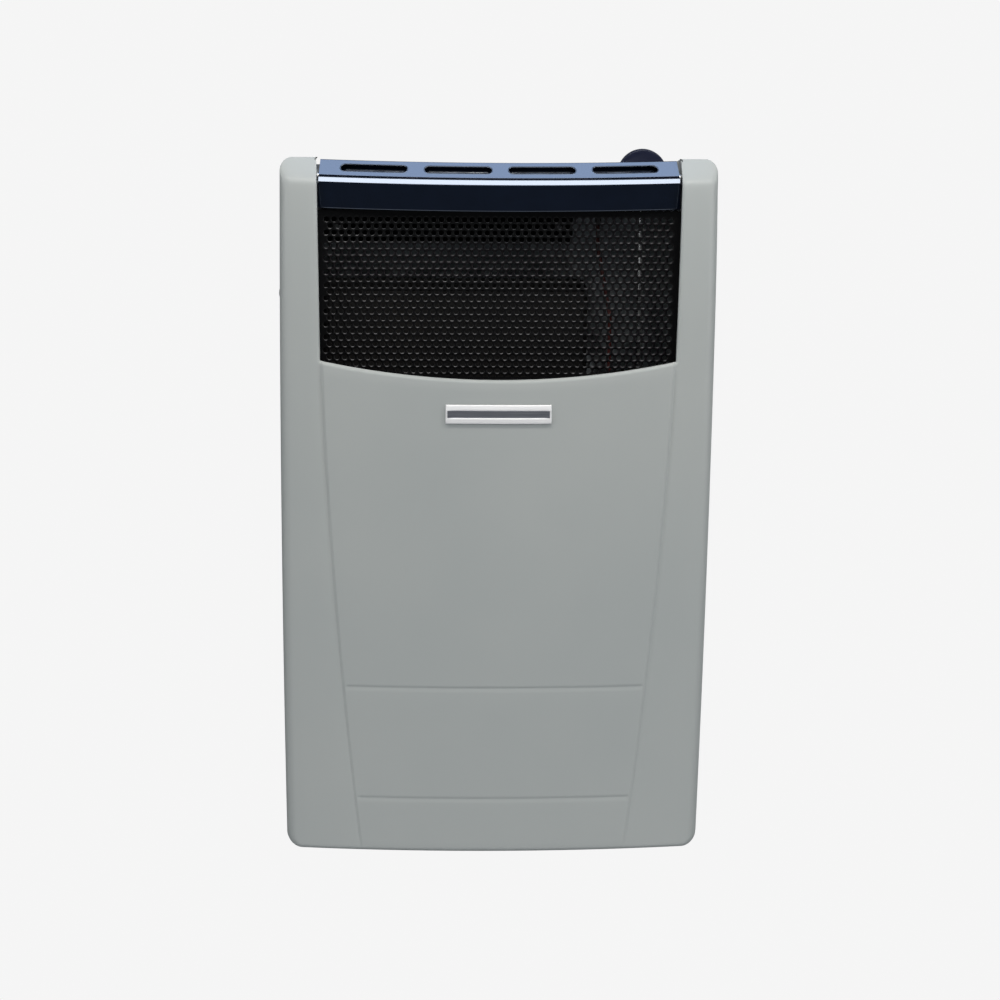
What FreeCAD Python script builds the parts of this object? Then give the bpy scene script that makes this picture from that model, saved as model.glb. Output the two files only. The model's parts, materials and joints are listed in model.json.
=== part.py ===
import FreeCAD, Part
import math
import os
from FreeCAD import Vector

# The heater hangs on a wall: wall plane y = 0, front towards -Y, up +Z. Heights are written from the
# bottom edge of the casing; the finished pieces are moved down so that the origin is the middle of the
# wall screw holes.

# Common
OVERRUN = 5.0
SHEET = 1.5
THIN_SHEET = 1.0
FIT_GAP = 0.3
RUNNING_GAP = 0.05
SCREW_RADIUS = 2.0
SCREW_GAP = 0.15
SCREW_HEAD_RADIUS = 3.8
SCREW_HEAD_HEIGHT = 2.2

# Casing
CASING_TOP_HALF = 200.0
CASING_BOTTOM_HALF = 191.6
SIDE_BULGE = 2.1
RIDGE_HEIGHT = 645.5
SIDE_DEPTH = 165.0
FRONT_BOW = 18.0
TOP_CORNER_RADIUS = 18.0
BOTTOM_CORNER_RADIUS = 14.0
FRONT_EDGE_RADIUS = 9.0
OUTLINE_HEADROOM = 1.0
FACET_RUN = 27.0
FACET_RISE = 23.0
REAR_ROOF_DROP = 25.0
BOTTOM_FLANGE = 14.0

# Opening between the cheeks
CHEEK_TOP_WIDTH = 33.2
CHEEK_LOW_WIDTH = 37.1
NOTCH_DROP = 182.7
NOTCH_ARCH = 15.3
COLLAR_FLANGE = 10.0

# Raised panel with the V lines and grooves
PANEL_RAISE = 1.2
PANEL_TOP_INSET = 1.5
PANEL_MID_INSET = 14.7
PANEL_BOTTOM_INSET = 39.4
PANEL_STEPS = 8
PANEL_FOOT = 2.5
GROOVE_HEIGHTS = (158.7, 52.6)
GROOVE_WIDTH = 2.0
GROOVE_DEPTH = 0.8
GROOVE_END_GAP = 4.0

# Badge plate
BADGE_WIDTH = 97.0
BADGE_HEIGHT = 17.5
BADGE_DROP = 31.2
BADGE_THICKNESS = 2.2
BADGE_CORNER = 2.0

# Visor
VISOR_END_GAP = 1.8
VISOR_FRONT_DEPTH = 175.0
VISOR_BOW = 20.0
VISOR_END_TAPER = 2.2
VISOR_LIP_DROP = 44.5
VISOR_LIP_DEPTH = 3.5
VISOR_FRONT_HEIGHT = 24.4
VISOR_BEVEL_RUN = 3.5
VISOR_BEVEL_RISE = 5.1
VISOR_TOP_RUN = 17.5
VISOR_TOP_RISE = 13.2
SLOT_COUNT = 4
SLOT_PITCH = 76.4
SLOT_LENGTH = 60.3
SLOT_WIDTH = 9.0
VISOR_SCREW_DROP = 15.0
VISOR_SCREW_SETBACK = 10.0

# Top cover
COVER_DROP = 24.5
COVER_FLANGE = 14.0

# Grille
GRILLE_DEPTH = 151.0
GRILLE_THICKNESS = 1.0
GRILLE_MARGIN = 11.0
HOLE_PITCH = 14.0
HOLE_RADIUS = 5.6
HOLE_BORDER = 4.0
GRILLE_SCREW_DROPS = (111.0, 21.0)
GRILLE_SCREW_SPREAD_SHARE = 0.55

# Back panel
BACK_BOTTOM = 6.0
BACK_TOP_DROP = 7.0
BACK_FLANGE = 22.0
WALL_HOLE_INSET = 22.0
WALL_HOLE_LOW = 90.0
WALL_HOLE_DROP = 74.0
WALL_HOLE_RADIUS = 4.0
CASING_SCREW_SETBACK = 12.0
CASING_SCREW_FOOT = 60.0
CASING_SCREW_DROP = 114.0

# Heat chamber and its shields
CHAMBER_OUTSET = 2.1
CHAMBER_TO_CONTROL = 51.5
CHAMBER_BACK_DEPTH = 45.0
CHAMBER_FRONT_DEPTH = 125.0
CHAMBER_BOTTOM = 140.0
CHAMBER_TOP_DROP = 94.0
CHAMBER_CORNER = 12.0
SHIELD_STANDOFF = 20.0
SHIELD_SIDE_INSET = 15.0
SHIELD_FOOT = 14.0
SHIELD_END_INSET = 12.0
FRONT_SHIELD_STANDOFF = 16.0
FRONT_SHIELD_DROP = 90.0
BRACKET_WIDTH = 30.0
BRACKET_LEG = 15.0
BRACKET_SIDE_INSET = 55.0
BRACKET_END_INSET = 55.0
DEFLECTOR_FOOT_DROP = 66.0
DEFLECTOR_BEND = 35.0
DEFLECTOR_TOP_DROP = 4.0
DEFLECTOR_REACH = 120.0
DEFLECTOR_SIDE_INSET = 7.0

# Control axis and gas valve
CONTROL_INSET = 30.3
CONTROL_DEPTH = 80.0
VALVE_WIDTH = 44.0
VALVE_DEPTH = 50.0
VALVE_BOTTOM = 75.0
VALVE_TOP = 135.0
VALVE_EDGE = 4.0
VALVE_NECK_RADIUS = 11.0
VALVE_NECK_HEIGHT = 12.0
DRIVER_RADIUS = 7.0
DRIVER_HEAD_RADIUS = 9.5
DRIVER_HEAD_HEIGHT = 6.0
DRIVER_FLOOR = 110.0
DRIVER_BORE_FLOOR = 116.0
ROD_RADIUS = 3.0
ROD_FOOT = 124.0
BUSH_RADIUS = 6.0
BUSH_FLANGE_RADIUS = 9.0
BUSH_FLANGE = 2.0
BUSH_LENGTH = 12.0

# Knob
KNOB_STANDOFF = 7.0
KNOB_BASE_RADIUS = 21.5
KNOB_BASE_HEIGHT = 5.5
KNOB_BASE_EDGE = 1.5
FIN_RADIUS = 23.0
FIN_RISE = 26.0
FIN_THICKNESS = 9.0
FIN_EDGE = 1.0
ROD_TOP_COVER = 4.0

# Burner
BURNER_HEIGHT = 110.0
BURNER_RADIUS = 16.0
BURNER_LEFT_INSET = 25.0
BURNER_RIGHT_INSET = 15.0
PORT_COUNT = 18
PORT_PITCH = 10.5
PORT_WIDTH = 2.0
PORT_DEPTH = 6.0
CAP_LENGTH = 10.0
VENTURI_MOUTH_RADIUS = 14.0
VENTURI_THROAT_RADIUS = 7.0
VENTURI_LENGTH = 25.0
VENTURI_THROAT_PLACE = 14.0
VENTURI_INSERTION = 12.0
INJECTOR_HEX_RADIUS = 7.0
INJECTOR_HEX_LENGTH = 10.0
INJECTOR_NOZZLE_RADIUS = 3.5
INJECTOR_NOZZLE_LENGTH = 8.0
BURNER_BRACKET_LEFT_INSET = 20.0
BURNER_BRACKET_RIGHT_INSET = 30.0
BURNER_BRACKET_HALF = 24.0
BURNER_BRACKET_LEG = 14.0

# Gas inlet
INLET_THREAD_RADIUS = 10.48
INLET_THREAD_LENGTH = 16.0
INLET_FOOT = 2.0
INLET_BORE_RADIUS = 6.0
INLET_HEX_RADIUS = 15.0
INLET_HEX_HEIGHT = 8.0
INLET_SPIGOT_RADIUS = 9.0
INLET_SPIGOT_HEIGHT = 12.0
LOCKNUT_HEIGHT = 5.0
LOCKNUT_RADIUS = 14.0
SUPPLY_WALL = 1.0
INLET_BRACKET_HALF = 22.0
BRACKET_FLANGE = 24.0

# Pilot group
PILOT_DEPTH = 108.0
PILOT_PLATE_HEIGHT = 108.0
PILOT_PLATE_HALF = 10.0
PILOT_PLATE_OVERHANG = 9.0
PILOT_EAR = 12.0
PILOT_INSET = 14.0
THERMOCOUPLE_STEP = 16.0
ELECTRODE_STEP = 31.0
PILOT_RADIUS = 5.0
PILOT_RISE = 20.0
PILOT_DROP = 10.0
PILOT_HOOD_RADIUS = 6.5
PILOT_HOOD_HEIGHT = 4.0
PROBE_RADIUS = 2.5
PROBE_RISE = 24.0
PROBE_NUT_RADIUS = 5.0
PROBE_NUT_HEIGHT = 5.0
ELECTRODE_RADIUS = 3.5
ELECTRODE_RISE = 10.0
ELECTRODE_DROP = 8.0
ELECTRODE_TIP_RADIUS = 1.2
ELECTRODE_TIP_RISE = 22.0
PILOT_TUBE_RADIUS = 2.0
PILOT_TUBE_DROP = 36.0
PILOT_TUBE_FRONT = 18.0
PILOT_PORT_HEIGHT = 86.0
PILOT_PORT_SHIFT = 10.0
LEAD_RADIUS = 1.5
LEAD_DROP = 22.0
LEAD_FRONT = 14.0
LEAD_PORT_HEIGHT = 98.0
LEAD_PORT_SHIFT = -10.0
TUBE_BEND = 7.0

# Piezo igniter
PIEZO_STEP = 40.5
PIEZO_RADIUS = 8.0
PIEZO_TOP_RISE = 5.0
PIEZO_LENGTH = 42.0
PIEZO_NUT_RADIUS = 11.5
PIEZO_NUT_HEIGHT = 4.0
BUTTON_RADIUS = 5.5
BUTTON_RISE = 7.0
BUTTON_DEPTH = 4.0
BUTTON_WELL = 10.0
BUTTON_EDGE = 1.0
TERMINAL_RADIUS = 3.0
TERMINAL_LENGTH = 8.0
IGNITION_RADIUS = 1.8
IGNITION_STANDOFF = 21.0
IGNITION_DEPTH = 112.0
IGNITION_SETTLE = 40.0
IGNITION_BEND = 9.0
IGNITION_DROP = 12.0
CLIP_SHARE = 0.5
CLIP_WIDTH = 14.0
CLIP_WALL = 1.2

# Values worked out from the sizes above
NOTCH_TOP_HALF = CASING_TOP_HALF - CHEEK_TOP_WIDTH
NOTCH_LOW_HALF = CASING_TOP_HALF - CHEEK_LOW_WIDTH
NOTCH_SIDE_FOOT = RIDGE_HEIGHT - NOTCH_DROP
NOTCH_LOW_POINT = NOTCH_SIDE_FOOT - NOTCH_ARCH
PANEL_TOP_HALF = NOTCH_LOW_HALF - PANEL_TOP_INSET
PANEL_MID_HALF = PANEL_TOP_HALF - PANEL_MID_INSET
PANEL_BOTTOM_HALF = PANEL_TOP_HALF - PANEL_BOTTOM_INSET
BADGE_MIDDLE = NOTCH_LOW_POINT - BADGE_DROP
COVER_TOP = RIDGE_HEIGHT - COVER_DROP
BACK_TOP = COVER_TOP - BACK_TOP_DROP
WALL_HOLE_SPREAD = CASING_TOP_HALF - WALL_HOLE_INSET
WALL_HOLE_HIGH = BACK_TOP - WALL_HOLE_DROP
CASING_SCREW_HEIGHTS = (CASING_SCREW_FOOT, BACK_TOP - CASING_SCREW_DROP)
VISOR_HALF = NOTCH_TOP_HALF - VISOR_END_GAP
VISOR_LIP_HEIGHT = RIDGE_HEIGHT - VISOR_LIP_DROP
GRILLE_SCREW_HEIGHTS = [VISOR_LIP_HEIGHT - drop for drop in GRILLE_SCREW_DROPS]
GRILLE_SCREW_SPREAD = NOTCH_LOW_HALF * GRILLE_SCREW_SPREAD_SHARE
CONTROL_X = NOTCH_TOP_HALF - CONTROL_INSET
CHAMBER_LEFT = -NOTCH_LOW_HALF - CHAMBER_OUTSET
CHAMBER_RIGHT = CONTROL_X - CHAMBER_TO_CONTROL
CHAMBER_TOP = BACK_TOP - CHAMBER_TOP_DROP
FRONT_SHIELD_TOP = CHAMBER_TOP - FRONT_SHIELD_DROP
BRACKET_SPREAD = (CHAMBER_RIGHT - CHAMBER_LEFT) / 2 - BRACKET_SIDE_INSET
BRACKET_RISE = (CHAMBER_TOP - CHAMBER_BOTTOM) / 2 - BRACKET_END_INSET
DEFLECTOR_FOOT = BACK_TOP - DEFLECTOR_FOOT_DROP
DEFLECTOR_TOP = BACK_TOP - DEFLECTOR_TOP_DROP
KNOB_BASE_BOTTOM = COVER_TOP + KNOB_STANDOFF
FIN_TOP = COVER_TOP + FIN_RISE
BURNER_LEFT = CHAMBER_LEFT + BURNER_LEFT_INSET
BURNER_RIGHT = CHAMBER_RIGHT - BURNER_RIGHT_INSET
VENTURI_MOUTH_X = BURNER_RIGHT + VENTURI_LENGTH
VENTURI_THROAT_X = BURNER_RIGHT + VENTURI_THROAT_PLACE
BURNER_BRACKET_PLACES = (BURNER_LEFT + BURNER_BRACKET_LEFT_INSET, BURNER_RIGHT - BURNER_BRACKET_RIGHT_INSET)
PILOT_X = BURNER_RIGHT - PILOT_INSET
THERMOCOUPLE_X = PILOT_X + THERMOCOUPLE_STEP
ELECTRODE_X = PILOT_X + ELECTRODE_STEP
PILOT_PLATE_END = ELECTRODE_X + PILOT_PLATE_OVERHANG
PIEZO_X = CONTROL_X - PIEZO_STEP
IGNITION_X = CHAMBER_RIGHT + IGNITION_STANDOFF
CLIP_HEIGHT = CHAMBER_BOTTOM + (CHAMBER_TOP - CHAMBER_BOTTOM) * CLIP_SHARE
FRONT_RADIUS = (CASING_TOP_HALF ** 2 + FRONT_BOW ** 2) / (2 * FRONT_BOW)
FRONT_AXIS_Y = FRONT_RADIUS - SIDE_DEPTH - FRONT_BOW
RIDGE_Y = FACET_RUN - SIDE_DEPTH
VISOR_RADIUS = (VISOR_HALF ** 2 + VISOR_BOW ** 2) / (2 * VISOR_BOW)
VISOR_AXIS_Y = VISOR_RADIUS - VISOR_FRONT_DEPTH
VISOR_BEVEL_FOOT = VISOR_LIP_HEIGHT + VISOR_FRONT_HEIGHT
VISOR_CREASE = VISOR_BEVEL_FOOT + VISOR_BEVEL_RISE
VISOR_REAR_TOP = VISOR_CREASE + VISOR_TOP_RISE
VISOR_REAR_SETBACK = VISOR_BEVEL_RUN + VISOR_TOP_RUN
GRILLE_TOP = VISOR_LIP_HEIGHT - FIT_GAP
ORIGIN_HEIGHT = (WALL_HOLE_LOW + WALL_HOLE_HIGH) / 2
CONTROL_Y = -CONTROL_DEPTH
VALVE_LEFT = CONTROL_X - VALVE_WIDTH / 2
VALVE_FRONT = CONTROL_Y - VALVE_DEPTH / 2
VALVE_BACK = CONTROL_Y + VALVE_DEPTH / 2
NECK_TOP = VALVE_TOP + VALVE_NECK_HEIGHT
INLET_HEX_TOP = INLET_FOOT + INLET_THREAD_LENGTH + INLET_HEX_HEIGHT
SUPPLY_RADIUS = INLET_BORE_RADIUS
ALONG_X = Vector(1, 0, 0)
ALONG_Y = Vector(0, 1, 0)
ALONG_Z = Vector(0, 0, 1)


def side_half(height):
    """Half width of the casing at a height: tapered, with slightly convex sides."""
    share = height / RIDGE_HEIGHT
    straight = CASING_BOTTOM_HALF + (CASING_TOP_HALF - CASING_BOTTOM_HALF) * share
    return straight + 4 * SIDE_BULGE * share * (1 - share)


def notch_half(height):
    """Half width of the opening between the cheeks at a height."""
    share = (height - NOTCH_SIDE_FOOT) / (RIDGE_HEIGHT - NOTCH_SIDE_FOOT)
    return NOTCH_LOW_HALF + (NOTCH_TOP_HALF - NOTCH_LOW_HALF) * share


def notch_floor(x):
    """Height of the arched lower edge of the opening."""
    return NOTCH_LOW_POINT + (NOTCH_SIDE_FOOT - NOTCH_LOW_POINT) * (x / NOTCH_LOW_HALF) ** 2


def box(x0, x1, y0, y1, z0, z1):
    return Part.makeBox(x1 - x0, y1 - y0, z1 - z0, Vector(x0, y0, z0))


def pin(start, direction, radius, length):
    return Part.makeCylinder(radius, length, start, direction)


def collar(start, direction, outer, inner, length):
    """A plain ring: a cylinder with a bore."""
    bore = pin(start - direction * OVERRUN, direction, inner, length + 2 * OVERRUN)
    return pin(start, direction, outer, length).cut(bore)


def hexagon(start, direction, radius, length):
    """A hexagonal prism, its radius measured to the corners."""
    circle = Part.Circle(start, direction, radius)
    corners = [circle.value(index * math.pi / 3) for index in range(6)]
    face = Part.Face(Part.makePolygon(corners + corners[:1]))
    return face.extrude(direction * length)


def polygon_prism(points, reach):
    face = Part.Face(Part.makePolygon(list(points) + [points[0]]))
    return face.extrude(reach)


def bent_strip(points, thickness):
    """Outline of a bent sheet: the line of points and its copy, offset to the left."""
    offset = []
    for index, (a, b) in enumerate(points):
        normals = []
        for first in (index - 1, index):
            if 0 <= first < len(points) - 1:
                da = points[first + 1][0] - points[first][0]
                db = points[first + 1][1] - points[first][1]
                length = math.hypot(da, db)
                normals.append((-db / length, da / length))
        na = sum(normal[0] for normal in normals)
        nb = sum(normal[1] for normal in normals)
        scale = thickness * len(normals) / (na * na + nb * nb)
        if len(normals) == 1:
            scale = thickness
        offset.append((a + na * scale, b + nb * scale))
    return list(points) + offset[::-1]


def bent_tube(points, radius, bend):
    """A round tube or lead along straight runs joined by tangent arcs."""
    edges = []
    start = points[0]
    for before, corner, after in zip(points, points[1:], points[2:]):
        back = (before - corner).normalize()
        ahead = (after - corner).normalize()
        half_turn = (math.pi - back.getAngle(ahead)) / 2
        reach = bend * math.tan(half_turn)
        bisector = (back + ahead).normalize()
        middle = corner + bisector * (bend / math.cos(half_turn) - bend)
        entry = corner + back * reach
        leave = corner + ahead * reach
        edges.append(Part.LineSegment(start, entry).toShape())
        edges.append(Part.Arc(entry, middle, leave).toShape())
        start = leave
    edges.append(Part.LineSegment(start, points[-1]).toShape())
    section = Part.Wire(Part.Circle(points[0], points[1] - points[0], radius).toShape())
    return Part.Wire(edges).makePipeShell([section], True, False)


def united(shapes):
    whole = shapes[0]
    if len(shapes) > 1:
        whole = whole.fuse(shapes[1:])
    return whole.removeSplitter()


def screw(seat, direction, length):
    """A pan head screw: its head stands on the seat, its shank runs along direction."""
    head = pin(seat, direction * -1, SCREW_HEAD_RADIUS, SCREW_HEAD_HEIGHT)
    return united([head, pin(seat, direction, SCREW_RADIUS, length)])


def screw_hole(seat, direction, length):
    start = seat - direction * OVERRUN
    return pin(start, direction, SCREW_RADIUS + SCREW_GAP, length + 2 * OVERRUN)


def casing_block(inset, bottom, back):
    """The casing's outer form, moved inwards by inset: bowed front, faceted top, rounded edges."""
    top = RIDGE_HEIGHT + OUTLINE_HEADROOM - inset
    middle = (bottom + top) / 2
    low_right = Vector(side_half(bottom) - inset, back, bottom)
    mid_right = Vector(side_half(middle) - inset, back, middle)
    top_right = Vector(side_half(top) - inset, back, top)
    low_left, mid_left, top_left = (Vector(-p.x, p.y, p.z) for p in (low_right, mid_right, top_right))
    outline = Part.Wire([
        Part.LineSegment(low_left, low_right).toShape(),
        Part.Arc(low_right, mid_right, top_right).toShape(),
        Part.LineSegment(top_right, top_left).toShape(),
        Part.Arc(top_left, mid_left, low_left).toShape(),
    ])
    depth = back + SIDE_DEPTH + FRONT_BOW + OVERRUN
    block = Part.Face(outline).extrude(ALONG_Y * -depth)
    block = block.makeFillet(TOP_CORNER_RADIUS - inset, corner_edges(block, middle, top))
    block = block.makeFillet(BOTTOM_CORNER_RADIUS - inset, corner_edges(block, bottom, middle)[:2])
    radius = FRONT_RADIUS - inset
    foot = Vector(0, FRONT_AXIS_Y, bottom - OVERRUN)
    block = block.common(Part.makeCylinder(radius, top - bottom + 2 * OVERRUN, foot))
    rim = [edge for edge in block.Edges if on_front(edge, radius)]
    block = block.makeFillet(FRONT_EDGE_RADIUS - inset, rim)
    block = block.common(roof(inset, bottom))
    facet = next(face for face in block.Faces if is_facet(face))
    ridge = max(edge.CenterOfMass.z for edge in facet.Edges)
    shoulder = [edge for edge in facet.Edges if edge.CenterOfMass.z < ridge - RUNNING_GAP]
    return block.makeFillet(FRONT_EDGE_RADIUS - inset, shoulder)


def corner_edges(block, low, top):
    """Edges that run from front to back between two heights, lowest first."""
    edges = [edge for edge in block.Edges if abs(edge.tangentAt(edge.FirstParameter).y) > 0.9]
    edges = [edge for edge in edges if low <= edge.CenterOfMass.z + RUNNING_GAP <= top + FIT_GAP]
    return sorted(edges, key=lambda edge: edge.CenterOfMass.z)


def is_facet(face):
    """Whether a face is the flat slope at the front of the top."""
    if face.Surface.TypeId != "Part::GeomPlane":
        return False
    normal = face.normalAt(0, 0)
    return normal.y < -RUNNING_GAP and normal.z > RUNNING_GAP


def on_front(edge, radius):
    middle = edge.valueAt((edge.FirstParameter + edge.LastParameter) / 2)
    return abs(math.hypot(middle.x, middle.y - FRONT_AXIS_Y) - radius) < RUNNING_GAP


def roof(inset, bottom):
    """Everything under the sloping top facet and the roof that falls back to the wall."""
    facet = FACET_RISE / FACET_RUN
    fall = REAR_ROOF_DROP / RIDGE_Y
    facet_drop = inset * math.hypot(1, facet)
    fall_drop = inset * math.hypot(1, fall)
    ridge_y = RIDGE_Y + (facet_drop - fall_drop) / (facet - fall)
    ridge_z = RIDGE_HEIGHT + fall * (ridge_y - RIDGE_Y) - fall_drop
    front = -SIDE_DEPTH - FRONT_BOW - OVERRUN
    far = CASING_TOP_HALF + OVERRUN
    floor = bottom - OVERRUN
    points = [
        (OVERRUN, floor),
        (front, floor),
        (front, ridge_z + facet * (front - ridge_y)),
        (ridge_y, ridge_z),
        (OVERRUN, ridge_z + fall * (OVERRUN - ridge_y)),
    ]
    return polygon_prism([Vector(-far, y, z) for y, z in points], ALONG_X * (2 * far))


def notch_prism(grow, top, front, back):
    """The U-shaped opening, grown outwards, as a prism from front to back."""
    foot = NOTCH_SIDE_FOOT - grow
    top_right = Vector(notch_half(top) + grow, front, top)
    low_right = Vector(NOTCH_LOW_HALF + grow, front, foot)
    low_point = Vector(0, front, NOTCH_LOW_POINT - grow)
    top_left = Vector(-top_right.x, front, top)
    low_left = Vector(-low_right.x, front, foot)
    outline = Part.Wire([
        Part.LineSegment(top_right, low_right).toShape(),
        Part.Arc(low_right, low_point, low_left).toShape(),
        Part.LineSegment(low_left, top_left).toShape(),
        Part.LineSegment(top_left, top_right).toShape(),
    ])
    return Part.Face(outline).extrude(ALONG_Y * (back - front))


def panel_prism(inset):
    """The area between the two curved V lines, from just above the bottom edge up to the opening."""
    front = -SIDE_DEPTH - FRONT_BOW - OVERRUN
    levels = [PANEL_FOOT + inset] + [NOTCH_SIDE_FOOT * i / PANEL_STEPS for i in range(1, PANEL_STEPS + 1)]
    right = [Vector(panel_half(level) - inset, front, level) for level in levels]
    left = [Vector(-p.x, p.y, p.z) for p in reversed(right)]
    outline = Part.makePolygon(right + left + right[:1])
    return Part.Face(outline).extrude(ALONG_Y * (FRONT_BOW + 4 * OVERRUN))


def panel_half(height):
    """Half width between the V lines at a height."""
    share = height / NOTCH_SIDE_FOOT
    straight = PANEL_BOTTOM_HALF + (PANEL_TOP_HALF - PANEL_BOTTOM_HALF) * share
    bulge = PANEL_MID_HALF - (PANEL_TOP_HALF + PANEL_BOTTOM_HALF) / 2
    return straight + 4 * bulge * share * (1 - share)


def front_casing():
    front = -SIDE_DEPTH - FRONT_BOW - OVERRUN
    over_top = RIDGE_HEIGHT + OVERRUN
    body = casing_block(0, 0, 0)
    raised = casing_block(-PANEL_RAISE, 0, 0).common(panel_prism(0))
    outer = body.fuse(raised)
    hollow = casing_block(SHEET, SHEET, OVERRUN)
    hollow_raised = casing_block(SHEET - PANEL_RAISE, SHEET, OVERRUN).common(panel_prism(SHEET))
    shell = outer.cut(hollow).cut(hollow_raised)
    shell = shell.cut(notch_prism(0, over_top, front, OVERRUN))
    floor_half = CASING_BOTTOM_HALF - BOTTOM_FLANGE
    floor_front = BOTTOM_FLANGE - SIDE_DEPTH
    shell = shell.cut(box(-floor_half, floor_half, floor_front, OVERRUN, -OVERRUN, SHEET + OVERRUN))
    for height in GROOVE_HEIGHTS:
        shell = shell.cut(groove(height))
    rim = notch_prism(SHEET, over_top, front, -GRILLE_DEPTH)
    rim = rim.cut(notch_prism(0, over_top, front, -GRILLE_DEPTH))
    seat = notch_prism(SHEET + COLLAR_FLANGE, GRILLE_TOP, -GRILLE_DEPTH - SHEET, -GRILLE_DEPTH)
    seat = seat.cut(notch_prism(0, over_top, front, 0))
    walls = notch_prism(SHEET, over_top, front, 0).cut(notch_prism(0, over_top, front, 0))
    far = CASING_TOP_HALF
    walls = walls.common(box(-far, far, front, 0, BACK_TOP, over_top))
    shell = united([shell, rim.common(outer), seat, walls.common(body)])
    for seat_point, direction in casing_screw_places():
        shell = shell.cut(screw_hole(seat_point, direction, SHEET))
    for side in (-1, 1):
        shell = shell.cut(visor_screw_hole(side))
    for place in grille_screw_places():
        shell = shell.cut(screw_hole(place, ALONG_Y * -1, SHEET))
    return shell


def groove(height):
    """A shallow pressed line across the raised panel."""
    half = panel_half(height) - GROOVE_END_GAP
    reach = FRONT_RADIUS + PANEL_RAISE
    low = Vector(0, FRONT_AXIS_Y, height - GROOVE_WIDTH / 2)
    ring = Part.makeCylinder(reach + OVERRUN, GROOVE_WIDTH, low)
    ring = ring.cut(Part.makeCylinder(reach - GROOVE_DEPTH, GROOVE_WIDTH, low))
    front = -SIDE_DEPTH - FRONT_BOW - OVERRUN
    return ring.common(box(-half, half, front, -GRILLE_DEPTH, 0, NOTCH_SIDE_FOOT))


def casing_screw_places():
    """Seat and direction of each screw through a side of the casing."""
    places = []
    for side in (-1, 1):
        for height in CASING_SCREW_HEIGHTS:
            seat = Vector(side * (side_half(height) + SCREW_GAP), -CASING_SCREW_SETBACK, height)
            places.append((seat, ALONG_X * -side))
    return places


def casing_screws():
    length = 2 * SHEET + THIN_SHEET + FIT_GAP
    return Part.Compound([screw(seat, direction, length) for seat, direction in casing_screw_places()])


def badge_plate():
    """Plate that follows the bowed front, a film of glue away from it."""
    low = BADGE_MIDDLE - BADGE_HEIGHT / 2
    front = -SIDE_DEPTH - FRONT_BOW - PANEL_RAISE - BADGE_THICKNESS - OVERRUN
    tile = box(-BADGE_WIDTH / 2, BADGE_WIDTH / 2, front, -SIDE_DEPTH, low, low + BADGE_HEIGHT)
    tile = tile.makeFillet(BADGE_CORNER, [e for e in tile.Edges if abs(e.tangentAt(0).y) > 0.9])
    foot = Vector(0, FRONT_AXIS_Y, low - OVERRUN)
    height = BADGE_HEIGHT + 2 * OVERRUN
    face_radius = FRONT_RADIUS + PANEL_RAISE + FIT_GAP
    tile = tile.common(Part.makeCylinder(face_radius + BADGE_THICKNESS, height, foot))
    return tile.cut(Part.makeCylinder(face_radius, height, foot))


def visor_profile():
    """Bent sheet of the visor on its middle plane, as (y, z), from the lip to the rear flange."""
    front = -VISOR_FRONT_DEPTH
    return [
        (front + VISOR_LIP_DEPTH, VISOR_LIP_HEIGHT),
        (front, VISOR_LIP_HEIGHT),
        (front, VISOR_BEVEL_FOOT),
        (front + VISOR_BEVEL_RUN, VISOR_CREASE),
        (front + VISOR_REAR_SETBACK, VISOR_REAR_TOP),
        (front + VISOR_REAR_SETBACK, COVER_TOP - THIN_SHEET),
    ]


def swept_round_visor_axis(points):
    """A (y, z) outline turned about the upright axis that gives the visor its bow."""
    face = Part.Face(Part.makePolygon([Vector(0, y, z) for y, z in points + points[:1]]))
    sweep = 2 * math.degrees(math.asin((VISOR_HALF + OVERRUN) / (VISOR_RADIUS - VISOR_REAR_SETBACK)))
    axis = Vector(0, VISOR_AXIS_Y, 0)
    face.rotate(axis, ALONG_Z, -sweep / 2)
    return face.revolve(axis, ALONG_Z, sweep)


def visor_end(y):
    """Half length of the visor at a depth: its ends draw in towards the rear."""
    front = -VISOR_FRONT_DEPTH + VISOR_BOW
    return VISOR_HALF - VISOR_END_TAPER * (y - front) / VISOR_REAR_SETBACK


def visor_span(inset):
    """Everything between the visor's two ends, moved inwards by inset."""
    front = -VISOR_FRONT_DEPTH - OVERRUN
    rear = -VISOR_FRONT_DEPTH + VISOR_BOW + VISOR_REAR_SETBACK + OVERRUN
    corners = [(-1, front), (1, front), (1, rear), (-1, rear)]
    points = [Vector(side * (visor_end(y) - inset), y, 0) for side, y in corners]
    return polygon_prism(points, ALONG_Z * (VISOR_REAR_TOP + OVERRUN))


def visor():
    profile = visor_profile()
    sheet = swept_round_visor_axis(bent_strip(profile, -SHEET)).common(visor_span(0))
    ends = swept_round_visor_axis(profile).common(visor_span(0)).cut(visor_span(SHEET))
    body = united([sheet, ends])
    for index in range(SLOT_COUNT):
        body = body.cut(visor_slot((index - (SLOT_COUNT - 1) / 2) * SLOT_PITCH))
    for side in (-1, 1):
        body = body.cut(visor_screw_hole(side))
    return body


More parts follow.
